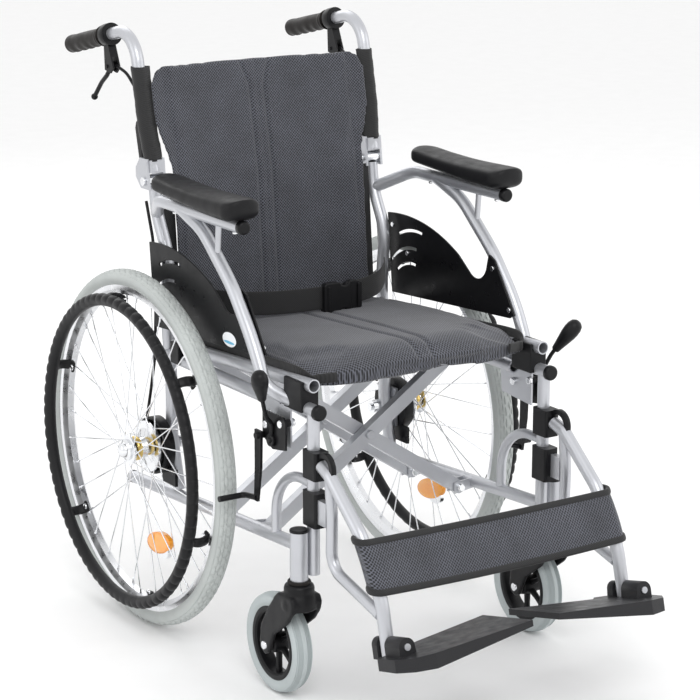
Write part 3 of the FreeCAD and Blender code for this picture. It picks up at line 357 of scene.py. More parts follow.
def mesh_object(name, mesh, angle=40.0):
    """A clean, outward-facing, smooth-shaded object from points and faces."""
    data = bpy.data.meshes.new(name)
    data.from_pydata([tuple(vert) for vert in mesh[0]], [], mesh[1])
    bm = bmesh.new()
    bm.from_mesh(data)
    bmesh.ops.remove_doubles(bm, verts=bm.verts, dist=1e-6)
    bmesh.ops.recalc_face_normals(bm, faces=bm.faces)
    bm.to_mesh(data)
    bm.free()
    data.shade_smooth()
    data.set_sharp_from_angle(angle=radians(angle))
    obj = bpy.data.objects.new(name, data)
    scene.collection.objects.link(obj)
    return obj


def settle(obj):
    """Apply every modifier by keeping the evaluated mesh."""
    graph = bpy.context.evaluated_depsgraph_get()
    graph.update()
    data = bpy.data.meshes.new_from_object(obj.evaluated_get(graph))
    obj.modifiers.clear()
    obj.data = data
    return obj


def bevelled(obj, width_mm, segments=3, angle=30.0):
    """Round the edges of a sharp shape."""
    modifier = obj.modifiers.new("bevel", "BEVEL")
    modifier.width, modifier.segments = width_mm * MM, segments
    modifier.limit_method, modifier.angle_limit = "ANGLE", radians(angle)
    modifier.harden_normals = True
    return obj


def moulded(obj, voxel_mm, smooths):
    """Melt a shape's solids into one skin with soft edges."""
    remesh = obj.modifiers.new("remesh", "REMESH")
    remesh.mode, remesh.voxel_size = "VOXEL", voxel_mm * MM
    soften = obj.modifiers.new("soften", "SMOOTH")
    soften.factor, soften.iterations = 0.5, smooths
    settle(obj)
    obj.data.shade_smooth()
    return obj


def swollen(obj, voxel_mm, cap_mm, pinned):
    """Inflate a closed pad as cloth, holding the points that pinned() names."""
    remesh = obj.modifiers.new("remesh", "REMESH")
    remesh.mode, remesh.voxel_size = "VOXEL", voxel_mm * MM
    settle(obj)
    start = [vert.co.copy() for vert in obj.data.vertices]
    group = obj.vertex_groups.new(name="held")
    group.add([vert.index for vert in obj.data.vertices if pinned(vert.co)], 1.0, "REPLACE")
    cloth = obj.modifiers.new("cloth", "CLOTH")
    cloth.settings.vertex_group_mass = "held"
    cloth.settings.use_pressure = True
    cloth.settings.uniform_pressure_force = 4.0
    cloth.settings.effector_weights.gravity = 0.0
    for number in range(1, 21):
        scene.frame_set(number)
    settle(obj)
    scene.frame_set(1)
    for vert, place in zip(obj.data.vertices, start):
        move = vert.co - place
        if move.length > cap_mm * MM:
            vert.co = place + move.normalized() * cap_mm * MM
    soften = obj.modifiers.new("soften", "SMOOTH")
    soften.factor, soften.iterations = 0.5, 3
    obj.modifiers.new("finer", "SUBSURF").levels = 1
    settle(obj)
    obj.data.shade_smooth()
    return obj


def paint(obj, *materials):
    obj.data.materials.clear()
    for material in materials:
        obj.data.materials.append(material)
    return obj


def place_piece(obj, body, slot, *nodes):
    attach(obj, body)
    if nodes:
        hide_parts(*nodes)
    return obj


def grooved(obj, inward, depth_at):
    """Press sewn lines into a pad: depth_at gives millimetres for a point on its face."""
    facings = [vert.normal.dot(inward) for vert in obj.data.vertices]
    for vert, facing in zip(obj.data.vertices, facings):
        if facing < -0.35:
            vert.co += inward * depth_at(vert.co) * MM
        elif facing > 0.35:
            vert.co -= inward * depth_at(vert.co) * 0.5 * MM


def line_dip(distance, width):
    """Depth of a sewn line, 1 on it and falling away to either side."""
    return exp(-(distance / width) ** 2)


# ================= camera, lights, stage =================
CAMERA_PLACE = (-1948.0, -3221.0, 1377.0)
CAMERA_AZIMUTH, CAMERA_ELEVATION, CAMERA_ROLL = -32.855, 14.392, -0.085
camera = bpy.data.objects.new("camera", bpy.data.cameras.new("camera"))
scene.collection.objects.link(camera)
camera.data.lens, camera.data.sensor_width = 122.8, 36.0
camera.data.shift_x, camera.data.shift_y = 0.0032, -0.0024
camera.location = at(1.0, *CAMERA_PLACE)
camera.rotation_euler = (radians(90 - CAMERA_ELEVATION), radians(CAMERA_ROLL), radians(CAMERA_AZIMUTH))
camera.data.clip_start, camera.data.clip_end = 0.1, 50.0
scene.camera = camera


def soft_light(name, place, power, size):
    light = bpy.data.objects.new(name, bpy.data.lights.new(name, "AREA"))
    scene.collection.objects.link(light)
    light.data.energy, light.data.size = power, size
    light.location = place
    light.rotation_euler = (Vector((0, 0, 0.4)) - Vector(place)).to_track_quat("-Z", "Y").to_euler()


soft_light("key", (-1.2, -2.6, 3.0), 38.0, 1.8)
soft_light("fill", (2.8, -1.8, 1.8), 17.0, 2.4)
soft_light("back", (0.4, 2.8, 2.6), 22.0, 2.4)
soft_light("side", (-3.2, 0.4, 1.6), 12.0, 2.0)
world = bpy.data.worlds.new("world")
world.use_nodes = True
world.node_tree.nodes["Background"].inputs["Color"].default_value = (1.0, 1.0, 1.0, 1.0)
world.node_tree.nodes["Background"].inputs["Strength"].default_value = 1.0
scene.world = world
scene.view_settings.view_transform = "Standard"

floor_data = bpy.data.meshes.new("floor")
REACH = 14.0
floor_data.from_pydata([(-REACH, -REACH, 0), (REACH, -REACH, 0), (REACH, REACH, 0), (-REACH, REACH, 0)],
                       [], [(0, 1, 2, 3)])
floor = bpy.data.objects.new("floor", floor_data)
scene.collection.objects.link(floor)
paint(floor, surface("pale_floor", (0.93, 0.93, 0.93), 0.85, vary=0.01, grain=200.0, relief=0.02))


# ================= CAD nodes that stay =================
FINISHES = {
    "front_frame": SILVER, "rear_frame": SILVER, "cross_frame": SILVER, "hanger": SILVER,
    "back_cane": SILVER, "frame_fittings": BLACK_PLASTIC, "hanger_saddles": BLACK_PLASTIC,
    "hanger_latch": BLACK_STEEL, "frame_bolts": CHROME, "hub": CHROME, "spokes": CHROME,
    "rear_rim": ALLOY, "side_guard": GUARD_PLASTIC, "drum_cover": BLACK_STEEL,
    "drum_arm": CHROME, "brake_perch": BLACK_PLASTIC, "brake_lever": BLACK_STEEL,
    "back_latch": BLACK_PLASTIC, "parking_brake_lever": BLACK_STEEL,
    "parking_brake_shoe": BLACK_STEEL, "footplate": CHARCOAL_PLASTIC, "caster_fork": BLACK_STEEL,
    "caster_wheel": BLACK_PLASTIC, "hand_grip": BLACK_RUBBER, "arm_pad": PAD_SKIN,
    "rear_tyre": TYRE_GREY, "handrim": RIM_RUBBER,
}
SOFTENED = {"hanger_saddles": 1.5, "brake_perch": 1.2, "footplate": 3.0, "parking_brake_shoe": 0.8,
            "frame_fittings": 0.8, "side_guard": 0.6, "drum_cover": 1.0, "hanger_latch": 1.0,
            "brake_lever": 0.6, "back_latch": 1.0}
for node, obj in NODES.items():
    family = node.rsplit("_", 1)[0]
    if family in FINISHES:
        paint(obj, FINISHES[family])
    if family in SOFTENED:
        weld = obj.modifiers.new("weld", "WELD")
        weld.merge_threshold = 1e-5
        bevelled(obj, SOFTENED[family], 2)
for node in ("seat", "back_lower", "back_upper", "lap_belt", "belt_buckle", "calf_strap"):
    paint(NODES[node], TAPE_UPRIGHT)


# ================= wheels =================
WHEEL_X = 257.0
TYRE_R, RIM_R = AXLE.z / MM, 262.0
TREAD_HALF = 12.5           # half the width of the tread
STUDS = 96
STUD_BANDS = ((0.0, 3.4), (3.9, 7.8), (8.3, TREAD_HALF))
STUD_TALL = 2.0


def tyre_relief(angle, offset):
    """Height of the tread's staggered blocks, in millimetres."""
    band = abs(offset)
    if band > TREAD_HALF:
        return 0.0
    row = 0 if band < 3.6 else 1 if band < 8.0 else 2
    phase = (angle * STUDS / (2 * pi) + 0.5 * row) % 1.0
    inner, outer = STUD_BANDS[row]
    edge = ease(band, inner, inner + 0.5) if row else 1.0
    edge *= 1 - ease(band, outer - 0.5, outer)
    return STUD_TALL * edge * ease(phase, 0.06, 0.16) * (1 - ease(phase, 0.74, 0.84))


def rear_tyre(name):
    side = SIDES[name]
    offsets = [-TREAD_HALF + 2 * TREAD_HALF * index / 44 for index in range(45)]
    crown = [(TYRE_R - 2.1 - 4.6 * (abs(offset) / TREAD_HALF) ** 2.4, offset) for offset in offsets]
    flank = [(TYRE_R - 7.4, 14.6), (TYRE_R - 10.5, 16.2), (TYRE_R - 14.0, 16.8), (TYRE_R - 18.0, 16.0),
             (RIM_R - 1.0, 13.0), (RIM_R - 1.0, 0.0)]
    profile = [(radius, -offset) for radius, offset in reversed(flank)] + crown + flank[:-1]

    def shape(angle, radius, offset):
        if radius < TYRE_R - 6.5:
            return radius, offset
        return radius + tyre_relief(angle, offset), offset
    mesh = revolve(at(side, WHEEL_X, 0, TYRE_R), Vector((1, 0, 0)), profile, STUDS * 7, shape)
    obj = paint(mesh_object("tyre_" + name, mesh), TYRE_GREY)
    place_piece(obj, "rear_wheel_" + name, "grey_tyre", "rear_tyre_" + name)


HANDRIM_X, HANDRIM_R, HANDRIM_TUBE_R = 297.0, 240.0, 10.5
HANDRIM_BUMPS = 78
BRACKETS = 6


def handrim(name):
    """A ring with finger bumps round its outer edge, on six brackets."""
    side, ring_steps, around = SIDES[name], HANDRIM_BUMPS * 8, 20
    centre = at(side, HANDRIM_X, 0, TYRE_R)

    def point(i, j):
        angle, turn = 2 * pi * i / ring_steps, 2 * pi * j / around
        outward = max(cos(turn - 0.35), 0.0)
        wave = abs(sin(angle * HANDRIM_BUMPS / 2)) ** 0.6
        radius = HANDRIM_TUBE_R - 1.6 + 2.6 * wave * outward ** 1.5
        distance = HANDRIM_R + radius * cos(turn)
        return centre + Vector((side * radius * 1.02 * sin(turn), distance * cos(angle),
                                distance * sin(angle))) * MM
    ring = grid(ring_steps, around, point, wrap_rows=True, wrap_cols=True)
    arms, screws = [], []
    for index in range(BRACKETS):
        angle = 2 * pi * (index + 0.35) / BRACKETS
        away = Vector((0, cos(angle), sin(angle)))
        rim_end = at(side, WHEEL_X + 7, 0, TYRE_R) + away * (RIM_R - 21) * MM
        path = [rim_end - away * 9 * MM, rim_end, at(side, WHEEL_X + 24, 0, TYRE_R) + away * 246 * MM,
                centre + away * (HANDRIM_R - 2) * MM]
        arms.append(sweep(curve_through(path, 12),
                          lambda t: superellipse(19 - 6 * t, 5.5 + 4 * t, 4.0, 20), up=away))
        screw = rim_end - away * 8 * MM + Vector((side * 2.5 * MM, 0, 0))
        screws.append(revolve(screw, Vector((side, 0, 0)),
                              [(0.0, 3.4), (2.4, 3.2), (4.4, 2.2), (5.0, 0.0), (0.0, 0.0)], 20))
    obj = mesh_object("push_ring_" + name, joined(ring, *arms), 60.0)
    place_piece(paint(obj, RIM_RUBBER), "rear_wheel_" + name, "black_rubber", "handrim_" + name)
    obj = mesh_object("push_ring_screws_" + name, joined(*screws))
    place_piece(paint(obj, CHROME), "rear_wheel_" + name, "chrome")


REFLECTOR_BACK, REFLECTOR_UP = -66.0, 146.0
REFLECTOR_LONG, REFLECTOR_TALL, REFLECTOR_TILT = 37.0, 17.0, radians(-14)


def reflector(name):
    """An oval lens clipped between the spokes."""
    side = SIDES[name]
    centre = at(side, WHEEL_X + 3.0, REFLECTOR_BACK, REFLECTOR_UP)
    profile = [(0.0, 5.6), (0.55, 5.5), (0.85, 5.0), (0.96, 4.2), (1.03, 3.4), (1.05, 0.0),
               (1.03, -3.4), (0.96, -4.2), (0.85, -5.0), (0.55, -5.5), (0.0, -5.6)]

    def point(i, j):
        angle = 2 * pi * i / 48
        radius, offset = profile[j]
        x, y = REFLECTOR_LONG * radius * cos(angle), REFLECTOR_TALL * radius * sin(angle)
        tilt_cos, tilt_sin = cos(REFLECTOR_TILT), sin(REFLECTOR_TILT)
        return centre + Vector((offset, x * tilt_cos - y * tilt_sin, x * tilt_sin + y * tilt_cos)) * MM
    mesh = grid(48, len(profile), point, wrap_rows=True)
    obj = paint(mesh_object("reflector_" + name, mesh), AMBER)
    place_piece(obj, "rear_wheel_" + name, "black_plastic")


def hub_trim(name):
    """The zinc ring on the hub, its bearing cap, and the nipples at the rim."""
    side = SIDES[name]
    out = Vector((side, 0, 0))
    centre = at(side, WHEEL_X, 0, TYRE_R)
    ring = [(16.2, 4.0), (18.6, 4.6), (19.4, 6.6), (19.4, 10.2), (18.6, 12.0), (16.2, 12.8)]
    obj = mesh_object("hub_ring_" + name, revolve(centre, out, ring, 64))
    place_piece(paint(obj, YELLOW_ZINC), "rear_wheel_" + name, "alloy")
    cap = [(0.0, 38.0), (5.0, 37.6), (9.0, 35.6), (11.5, 32.0), (12.6, 28.0), (12.8, 25.5), (0.0, 25.5)]
    obj = mesh_object("hub_cap_" + name, revolve(centre, out, cap, 48))
    place_piece(paint(obj, CHROME), "rear_wheel_" + name, "chrome")
    nipples = []
    for index in range(36):
        angle = 2 * pi * index / 36
        away = Vector((0, cos(angle), sin(angle)))
        lean = 1.3 if (index // 2) % 2 else -1.3
        place = centre + Vector((side * ((3.0 if index % 2 else -3.0) + lean) * MM, 0, 0))
        nipples.append(revolve(place + away * (RIM_R - 17.3) * MM, -away,
                               [(0.0, 0.0), (2.3, 0.0), (2.3, 2.0), (1.7, 3.0), (1.6, 9.0), (0.0, 9.4)], 10))
    obj = mesh_object("spoke_nipples_" + name, joined(*nipples))
    place_piece(paint(obj, CHROME), "rear_wheel_" + name, "chrome")


CASTER_SPOKES = 6
CASTER_RIDGES = (-11.0, -8.2, -5.4)


def caster_wheel(name):
    """A ridged grey tyre on a black spoked hub."""
    side = SIDES[name]
    out, back, up = joint_place("caster_spin_" + name)
    centre, axis = at(side, out, back, up), Vector((side, 0, 0))
    radius = up
    tyre = [(55.0, -11.5), (60.0, -14.6), (65.0, -15.9), (69.0, -15.2), (72.0, -13.2)]
    for ridge in CASTER_RIDGES:
        valley = radius - 2.2 - 0.02 * ridge * ridge
        crest = radius - 1.0 - 0.012 * ridge * ridge
        tyre += [(valley, ridge - 0.9), (crest, ridge), (valley, ridge + 0.9)]
    tyre += [(radius - 0.3, -3.0), (radius, 0.0)]
    tyre += [(far, -offset) for far, offset in reversed(tyre[:-1])]
    obj = mesh_object("caster_tyre_" + name, revolve(centre, axis, tyre, 128), 30.0)
    place_piece(paint(obj, CASTER_GREY), "caster_roller_" + name, "grey_tyre", "caster_wheel_" + name)

    rim = [(56.2, -12.6), (56.2, 12.6), (54.0, 13.6), (49.0, 13.0), (46.5, 10.5), (45.5, 4.0), (45.5, -4.0),
           (46.5, -10.5), (49.0, -13.0), (54.0, -13.6)]
    boss = [(4.1, -15.5), (12.0, -15.5), (14.0, -13.5), (15.0, -6.0), (15.0, 6.0), (14.0, 13.5),
            (12.0, 15.5), (4.1, 15.5)]
    parts = [revolve(centre, axis, rim, 96), revolve(centre, axis, boss, 48)]
    for index in range(CASTER_SPOKES):
        angle = 2 * pi * (index + 0.5) / CASTER_SPOKES
        away = Vector((0, cos(angle), sin(angle)))
        path = [centre + away * 12 * MM, centre + away * 30 * MM, centre + away * 48 * MM]
        parts.append(sweep(path, lambda t: superellipse(10 - 3 * sin(pi * t), 9, 3.0, 16),
                           up=Vector((1, 0, 0))))
    obj = mesh_object("caster_hub_" + name, joined(*parts), 35.0)
    place_piece(paint(obj, BLACK_PLASTIC), "caster_roller_" + name, "black_plastic")


def caster_fork(name):
    """A moulded fork: a domed head that runs into two broad, leaning legs."""
    side = SIDES[name]
    out, swivel_back, _ = joint_place("caster_swivel_" + name)
    _, back, up = joint_place("caster_spin_" + name)
    axis_up = Vector((0, 0, 1))
    head = [(13.0, 186.0), (20.0, 185.0), (22.5, 181.0), (22.8, 176.0), (21.8, 173.5), (23.0, 171.0),
            (25.5, 166.0), (27.0, 158.0), (27.0, 150.0), (25.0, 146.0), (13.0, 156.0)]
    solids = [revolve(at(side, out, swivel_back, 0.0), axis_up, head, 48)]
    outline = [(swivel_back - 24, 160), (swivel_back - 20, 146), (swivel_back - 6, 128),
               (back - 26, 100), (back - 15.5, up + 2), (back - 11, up - 10), (back, up - 15),
               (back + 11, up - 10), (back + 15.5, up + 2), (back + 12, 106), (back - 8, 138),
               (swivel_back + 30, 160), (swivel_back + 20, 170), (swivel_back - 18, 170)]
    for near in (-25.5, 19.0):
        solids.append(slab(side, out + near, out + near + 6.5, outline))
    shroud = [(swivel_back - 24, 158), (swivel_back - 18, 170), (swivel_back + 20, 170),
              (swivel_back + 34, 158), (swivel_back + 30, 155), (swivel_back - 20, 155)]
    solids.append(slab(side, out - 25.5, out + 25.5, shroud))
    obj = moulded(mesh_object("fork_" + name, joined(*solids)), 1.8, 7)
    place_piece(paint(obj, BLACK_PLASTIC), "caster_" + name, "black_plastic", "caster_fork_" + name)
    bolts = [revolve(at(side, out + sign * 25.2, back, up), Vector((side * sign, 0, 0)),
                     [(0.0, 4.2), (3.6, 4.0), (6.2, 2.6), (7.0, 0.0), (7.0, -1.5), (0.0, -1.5)], 32)
             for sign in (-1, 1)]
    washer = revolve(at(side, out, swivel_back, 190.0), axis_up,
                     [(13.8, -4.0), (17.0, -4.0), (17.4, -1.0), (16.0, 0.6), (13.8, 0.6)], 48)
    obj = mesh_object("fork_bolts_" + name, joined(*bolts))
    place_piece(paint(obj, CHROME), "caster_" + name, "chrome")
    obj = mesh_object("fork_seal_" + name, washer)
    place_piece(paint(obj, BLACK_RUBBER), "caster_" + name, "black_rubber")


# ================= hands: grips, pads, knobs =================
def hand_grip(name):
    """A tapered grip with a broad front flange, finger waves below and a domed end."""
    side = SIDES[name]
    low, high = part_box("hand_grip_" + name)
    out = (abs(low.x) + abs(high.x)) / 2 / MM
    radius, fall = 15.5, 0.218
    front = Vector((side * out * MM, low.y + 3.5 * MM, high.z - 18.0 * MM))
    along = Vector((0, 1, -fall)).normalized()
    length = (high.y - low.y) / MM / sqrt(1 + fall * fall) - 0.5
    below = Vector((0, -fall, -1)).normalized()
    steps, around = 60, 32

    def point(i, j):
        share = i / (steps - 1)
        turn = 2 * pi * j / around
        distance = length * share
        flange = 3.6 * (1 - ease(distance, 3.0, 9.0)) + 1.2 * exp(-((distance - 12) / 3.0) ** 2)
        swell = 0.9 * sin(pi * share) + 1.2 * ease(share, 0.78, 0.92)
        girth = radius - 2.2 + flange + swell
        end = ease(share, 0.955, 1.0)
        girth *= sqrt(max(1 - end * end, 0.0)) if share < 1 else 0.0
        girth *= ease(share, -0.02, 0.012)
        facing = max(-sin(turn), 0.0)
        girth += 1.1 * facing * sin(distance * 2 * pi / 24) * ease(share, 0.15, 0.25) * (1 - end)
        away = Vector((side, 0, 0)) * cos(turn) - below * sin(turn)
        return front + along * distance * MM + away * girth * MM
    obj = mesh_object("grip_" + name, grid(steps, around, point, wrap_cols=True, caps=True), 60.0)
    place_piece(paint(obj, BLACK_RUBBER), "back_" + name, "black_rubber", "hand_grip_" + name)


def arm_pad(name):
    """A skinned foam pad, deeper at the front, with a gentle dip along its top."""
    side = SIDES[name]
    low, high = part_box("arm_pad_" + name)
    front, rear = (low.y - AXLE.y) / MM, (high.y - AXLE.y) / MM
    top = high.z / MM
    middle = (abs(low.x) + abs(high.x)) / 2 / MM
    steps, around = 64, 40

    def point(i, j):
        share = i / (steps - 1)
        round_off = sqrt(max(1 - max((0.10 - share) / 0.10, 0.0) ** 2, 0.0))
        round_off *= sqrt(max(1 - max((share - 0.93) / 0.07, 0.0) ** 2, 0.0))
        width = (62.0 - 5.0 * share) * (0.35 + 0.65 * round_off if 0 < share < 1 else 0.35)
        deep = 33.0 - 9.0 * ease(share, 0.1, 0.8)
        depth = deep * (0.45 + 0.55 * round_off)
        turn = 2 * pi * j / around
        x, z = cos(turn), sin(turn)
        x = abs(x) ** 0.62 * (1 if x > 0 else -1)
        z = abs(z) ** 0.62 * (1 if z > 0 else -1)
        ridge = top + 2.0 - 2.6 * sin(pi * share) ** 2 + 1.6 * ease(share, 0.75, 1.0)
        crown = 1.5 * (1 - x * x) if z > 0 else 0.0
        up = ridge - depth / 2 + z * depth / 2 + crown
        back = front + (rear - front) * share
        return at(side, middle + x * width / 2, back, up)
    obj = mesh_object("pad_" + name, grid(steps, around, point, wrap_cols=True, caps=True), 60.0)
    obj.modifiers.new("finer", "SUBSURF").levels = 1
    settle(obj)
    place_piece(paint(obj, PAD_SKIN), "%s_frame" % name, "pad_foam", "arm_pad_" + name)


LEVER_FACE = 234.3
LEVER_ROD = [(237.5, -368.0, 386.0), (237.5, -372.0, 410.0), (250.3, -378.0, 426.0),
             (260.3, -386.0, 450.0), (268.0, -395.0, 466.0)]


def parking_lever(name):
    """The parking-brake lever: its eye, the bent rod and the egg-shaped knob."""
    side = SIDES[name]
    _, back, up = joint_place("parking_brake_" + name)
    eye = revolve(at(side, LEVER_FACE, back, up), Vector((side, 0, 0)),
                  [(0.0, 0.0), (9.0, 0.0), (9.6, 1.0), (9.6, 4.0), (9.0, 5.0), (4.6, 5.2), (4.0, 7.6),
                   (0.0, 8.0)], 36)
    rod = sweep(curve_through([at(side, *place) for place in LEVER_ROD], 40),
                lambda t: superellipse(6.4, 6.4, 2.0, 16), up=Vector((side, 0, 0.2)))
    obj = mesh_object("parking_lever_" + name, joined(eye, rod), 50.0)
    place_piece(paint(obj, BLACK_STEEL), "park_lever_" + name, "black_steel",
                "parking_brake_lever_" + name)
    start, end = at(side, 265.0, -391.0, 459.0), at(side, 281.0, -412.0, 494.0)
    profile = [(0.0, -3.0), (5.4, -3.0), (6.6, -1.0), (7.2, 4.0), (9.4, 16.0), (11.9, 30.0), (12.6, 39.0),
               (12.0, 47.0), (9.8, 53.0), (5.6, 56.6), (0.0, 57.6)]
    knob = mesh_object("brake_knob_" + name, revolve(start, end - start, profile, 40, closed=False), 50.0)
    place_piece(paint(knob, BLACK_PLASTIC), "park_lever_" + name, "black_plastic")


# ================= fabrics =================
lower_low, lower_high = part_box("back_lower")
upper_low, upper_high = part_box("back_upper")
HINGE_UP = (lower_high.z + upper_low.z) / 2 / MM
BACK_DEEP, BACK_SAG = 9.0, 14.0     # the pad's thickness, and how far its middle lies back
PANEL_HALF, PANEL_WAIST = 199.0, 22.0   # half its width above, and how much narrower it is below
PANEL_FORWARD = 6.0                 # how far its sides curl forward
SEAT_TOP, SEAT_DEEP = 497.0, 20.0
BACK_FOOT, BACK_HEAD = lower_low.z / MM, upper_high.z / MM
EDGE_BACK = [(value - AXLE.y) / MM for value in (lower_low.y, upper_low.y, upper_high.y)]


def back_edge(up):
    """How far back the front face of the back rest is, at its sides."""
    if up < HINGE_UP:
        share = (up - BACK_FOOT) / (HINGE_UP - BACK_FOOT)
        return EDGE_BACK[0] + (EDGE_BACK[1] - EDGE_BACK[0]) * share
    top = EDGE_BACK[2] - BACK_SAG - BACK_DEEP
    return EDGE_BACK[1] + (top - EDGE_BACK[1]) * (up - HINGE_UP) / (BACK_HEAD - HINGE_UP)


def back_pad():
    """The mesh back rest, swollen as one cloth and then parted at the hinge."""
    rows, cols, corner = 60, 30, 40.0
    loops = 2 * cols

    def point(i, j):
        up = BACK_FOOT + (BACK_HEAD - BACK_FOOT - 2.0) * (i / (rows - 1))
        rounding = max(up - (BACK_HEAD - corner), 0.0)
        waist = PANEL_WAIST * (1 - ease(up, HINGE_UP + 4, HINGE_UP + 110))
        half = PANEL_HALF - waist - corner + sqrt(max(corner ** 2 - rounding ** 2, 0.0))
        front = j < cols
        share = -1 + 2 * (j if front else loops - 1 - j) / (cols - 1)
        forward = PANEL_FORWARD * abs(share) ** 5
        deep = -forward if front else BACK_DEEP - 1.0 - forward * 1.4
        back = back_edge(up) + BACK_SAG * (1 - share * share) + deep
        return at(1, share * half, back, up)
    pad = mesh_object("back_pad", grid(rows, loops, point, wrap_cols=True, caps=True))
    swollen(pad, 4.0, 4.0, lambda place: abs(place.x) > (PANEL_HALF - 26) * MM)

    def depth_at(place):
        out, up = abs(place.x) / MM, place.z / MM
        groove = 13.5 + 16.0 * ease(up, BACK_HEAD - 52, BACK_HEAD + 8)
        return (3.2 * line_dip(out - groove, 3.2) + 0.8 * line_dip(out, 2.4)
                + 1.0 * line_dip(out - (PANEL_HALF - PANEL_WAIST - 12), 2.2))
    grooved(pad, Vector((0, 1, 0)), depth_at)
    halves = (("back_pad_lower", "right_frame", False), ("back_pad_upper", "back_right", True))
    for name, body, above in halves:
        half = pad.copy()
        half.data = pad.data.copy()
        half.name = name
        scene.collection.objects.link(half)
        bm = bmesh.new()
        bm.from_mesh(half.data)
        everything = bm.verts[:] + bm.edges[:] + bm.faces[:]
        cut = bmesh.ops.bisect_plane(bm, geom=everything, plane_co=(0, 0, HINGE_UP * MM),
                                     plane_no=(0, 0, 1), clear_inner=above, clear_outer=not above)
        edges = [item for item in cut["geom_cut"] if isinstance(item, bmesh.types.BMEdge)]
        bmesh.ops.holes_fill(bm, edges=edges)
        bm.to_mesh(half.data)
        bm.free()
        paint(half, MESH_UPRIGHT)
        place_piece(half, body, "mesh_fabric", "back_upper" if above else "back_lower")
        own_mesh(half)
    bpy.data.objects.remove(pad)


def lower_band(name):
    """A flat black band between the lower back rest and its tube."""
    low, tall = BACK_FOOT + 4, HINGE_UP - BACK_FOOT - 12
    heights = [low + tall * index / 20 for index in range(21)]
    path = [at(SIDES[name], 183.0, back_edge(up) + 6.5, up) for up in heights]
    band = mesh_object("back_band_" + name,
                       sweep(path, lambda t: superellipse(20.0, 3.0, 4.0, 16), up=Vector((0, 1, 0))), 60.0)
    place_piece(paint(band, TAPE_UPRIGHT), name + "_frame", "webbing")


def upper_sleeve(name):
    """A creased cloth sleeve round the upper tube, drawn in towards the back rest."""
    side = SIDES[name]
    low, high = HINGE_UP + 32, BACK_HEAD - 3
    rows, around = 30, 28

    def point(i, j):
        up = low + (high - low) * i / (rows - 1)
        turn = 2 * pi * j / around
        tube_out = 205.0 + 5.0 * ease(up, 717, 800)
        tube_back = 81.6 - 0.211 * (936.0 - up)
        crease = 0.5 * sin(up * 0.21 + 2.0 * turn) + 0.35 * sin(up * 0.47 - turn)
        radius = 12.2 + crease * 0.5
        x, y = cos(turn), sin(turn)
        stretch = 1.0
        if x < 0:
            stretch = 1.0 + 0.5 * abs(x) ** 3
            y *= 1 - 0.6 * abs(x) ** 2
        shift = (back_edge(up) + 5.0 - tube_back) * ease(-x, 0.2, 1.0)
        return at(side, tube_out + x * radius * stretch, tube_back + y * radius + shift, up)
    obj = mesh_object("back_sleeve_" + name, grid(rows, around, point, wrap_cols=True), 60.0)
    solid = obj.modifiers.new("thickness", "SOLIDIFY")
    solid.thickness, solid.offset = 1.0 * MM, -1.0
    settle(obj)
    obj.data.shade_smooth()
    place_piece(paint(obj, TAPE_SIDE), "back_" + name, "webbing")


def seat_pad():
    """The mesh seat: a crowned pad whose front edge rolls down, with two sewn lines."""
    low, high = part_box("seat")
    half = high.x / MM
    front, rear = (low.y - AXLE.y) / MM, (high.y - AXLE.y) / MM
    rows, cols = 50, 40
    loops = 2 * cols

    def top_at(share, back):
        return SEAT_TOP - 0.06 * (back + 230.0) - 5.0 * abs(share) ** 2.2

    def point(i, j):
        face = j < cols
        share = -1 + 2 * (j if face else loops - 1 - j) / (cols - 1)
        lead = front + 4.0 + 40.0 * abs(share) ** 3
        back = lead + (rear - 3.0 - lead) * i / (rows - 1)
        roll = 26.0 * (1 - ease(back - lead, -18.0, 60.0)) ** 1.2
        thin = 3.0 * abs(share) ** 6
        up = top_at(share, back) - roll - (thin if face else SEAT_DEEP - thin)
        return at(1, share * (half - 3.0), back, up)
    pad = mesh_object("seat_pad", grid(rows, loops, point, wrap_cols=True, caps=True))
    swollen(pad, 4.5, 6.0, lambda place: abs(place.x) > (half - 10) * MM and place.z < 0.47)

    def depth_at(place):
        out, back = abs(place.x) / MM, (place.y - AXLE.y) / MM
        groove = 18.0 - 5.0 * ease(-back, 250.0, 420.0)
        return 3.4 * line_dip(out - groove, 3.6) + 1.0 * line_dip(out - (half - 16), 2.4)
    grooved(pad, Vector((0, 0, -1)), depth_at)
    place_piece(paint(pad, MESH_FLAT), "seat_carrier", "mesh_fabric", "seat")
    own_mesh(pad)

    side_run = [rear - 5.0, rear - 120.0, rear - 240.0, front + 64.0]
    for name, side in SIDES.items():
        run = [at(side, half - 1.0, back, top_at(1.0, back) - 13.0) for back in side_run]
        for share in (0.96, 0.90, 0.84, 0.78):
            lead = front + 3.0 + 40.0 * share ** 3
            run.append(at(side, share * (half - 2.0), lead, top_at(share, lead) - 25.0))
        tape = mesh_object("seat_binding_" + name,
                           sweep(curve_through(run, 70), lambda t: superellipse(4.5, 15.0, 3.0, 16)), 60.0)
        place_piece(paint(tape, TAPE_FLAT), "seat_carrier", "webbing")
        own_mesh(tape)


BELT_WIDTH = 38.0


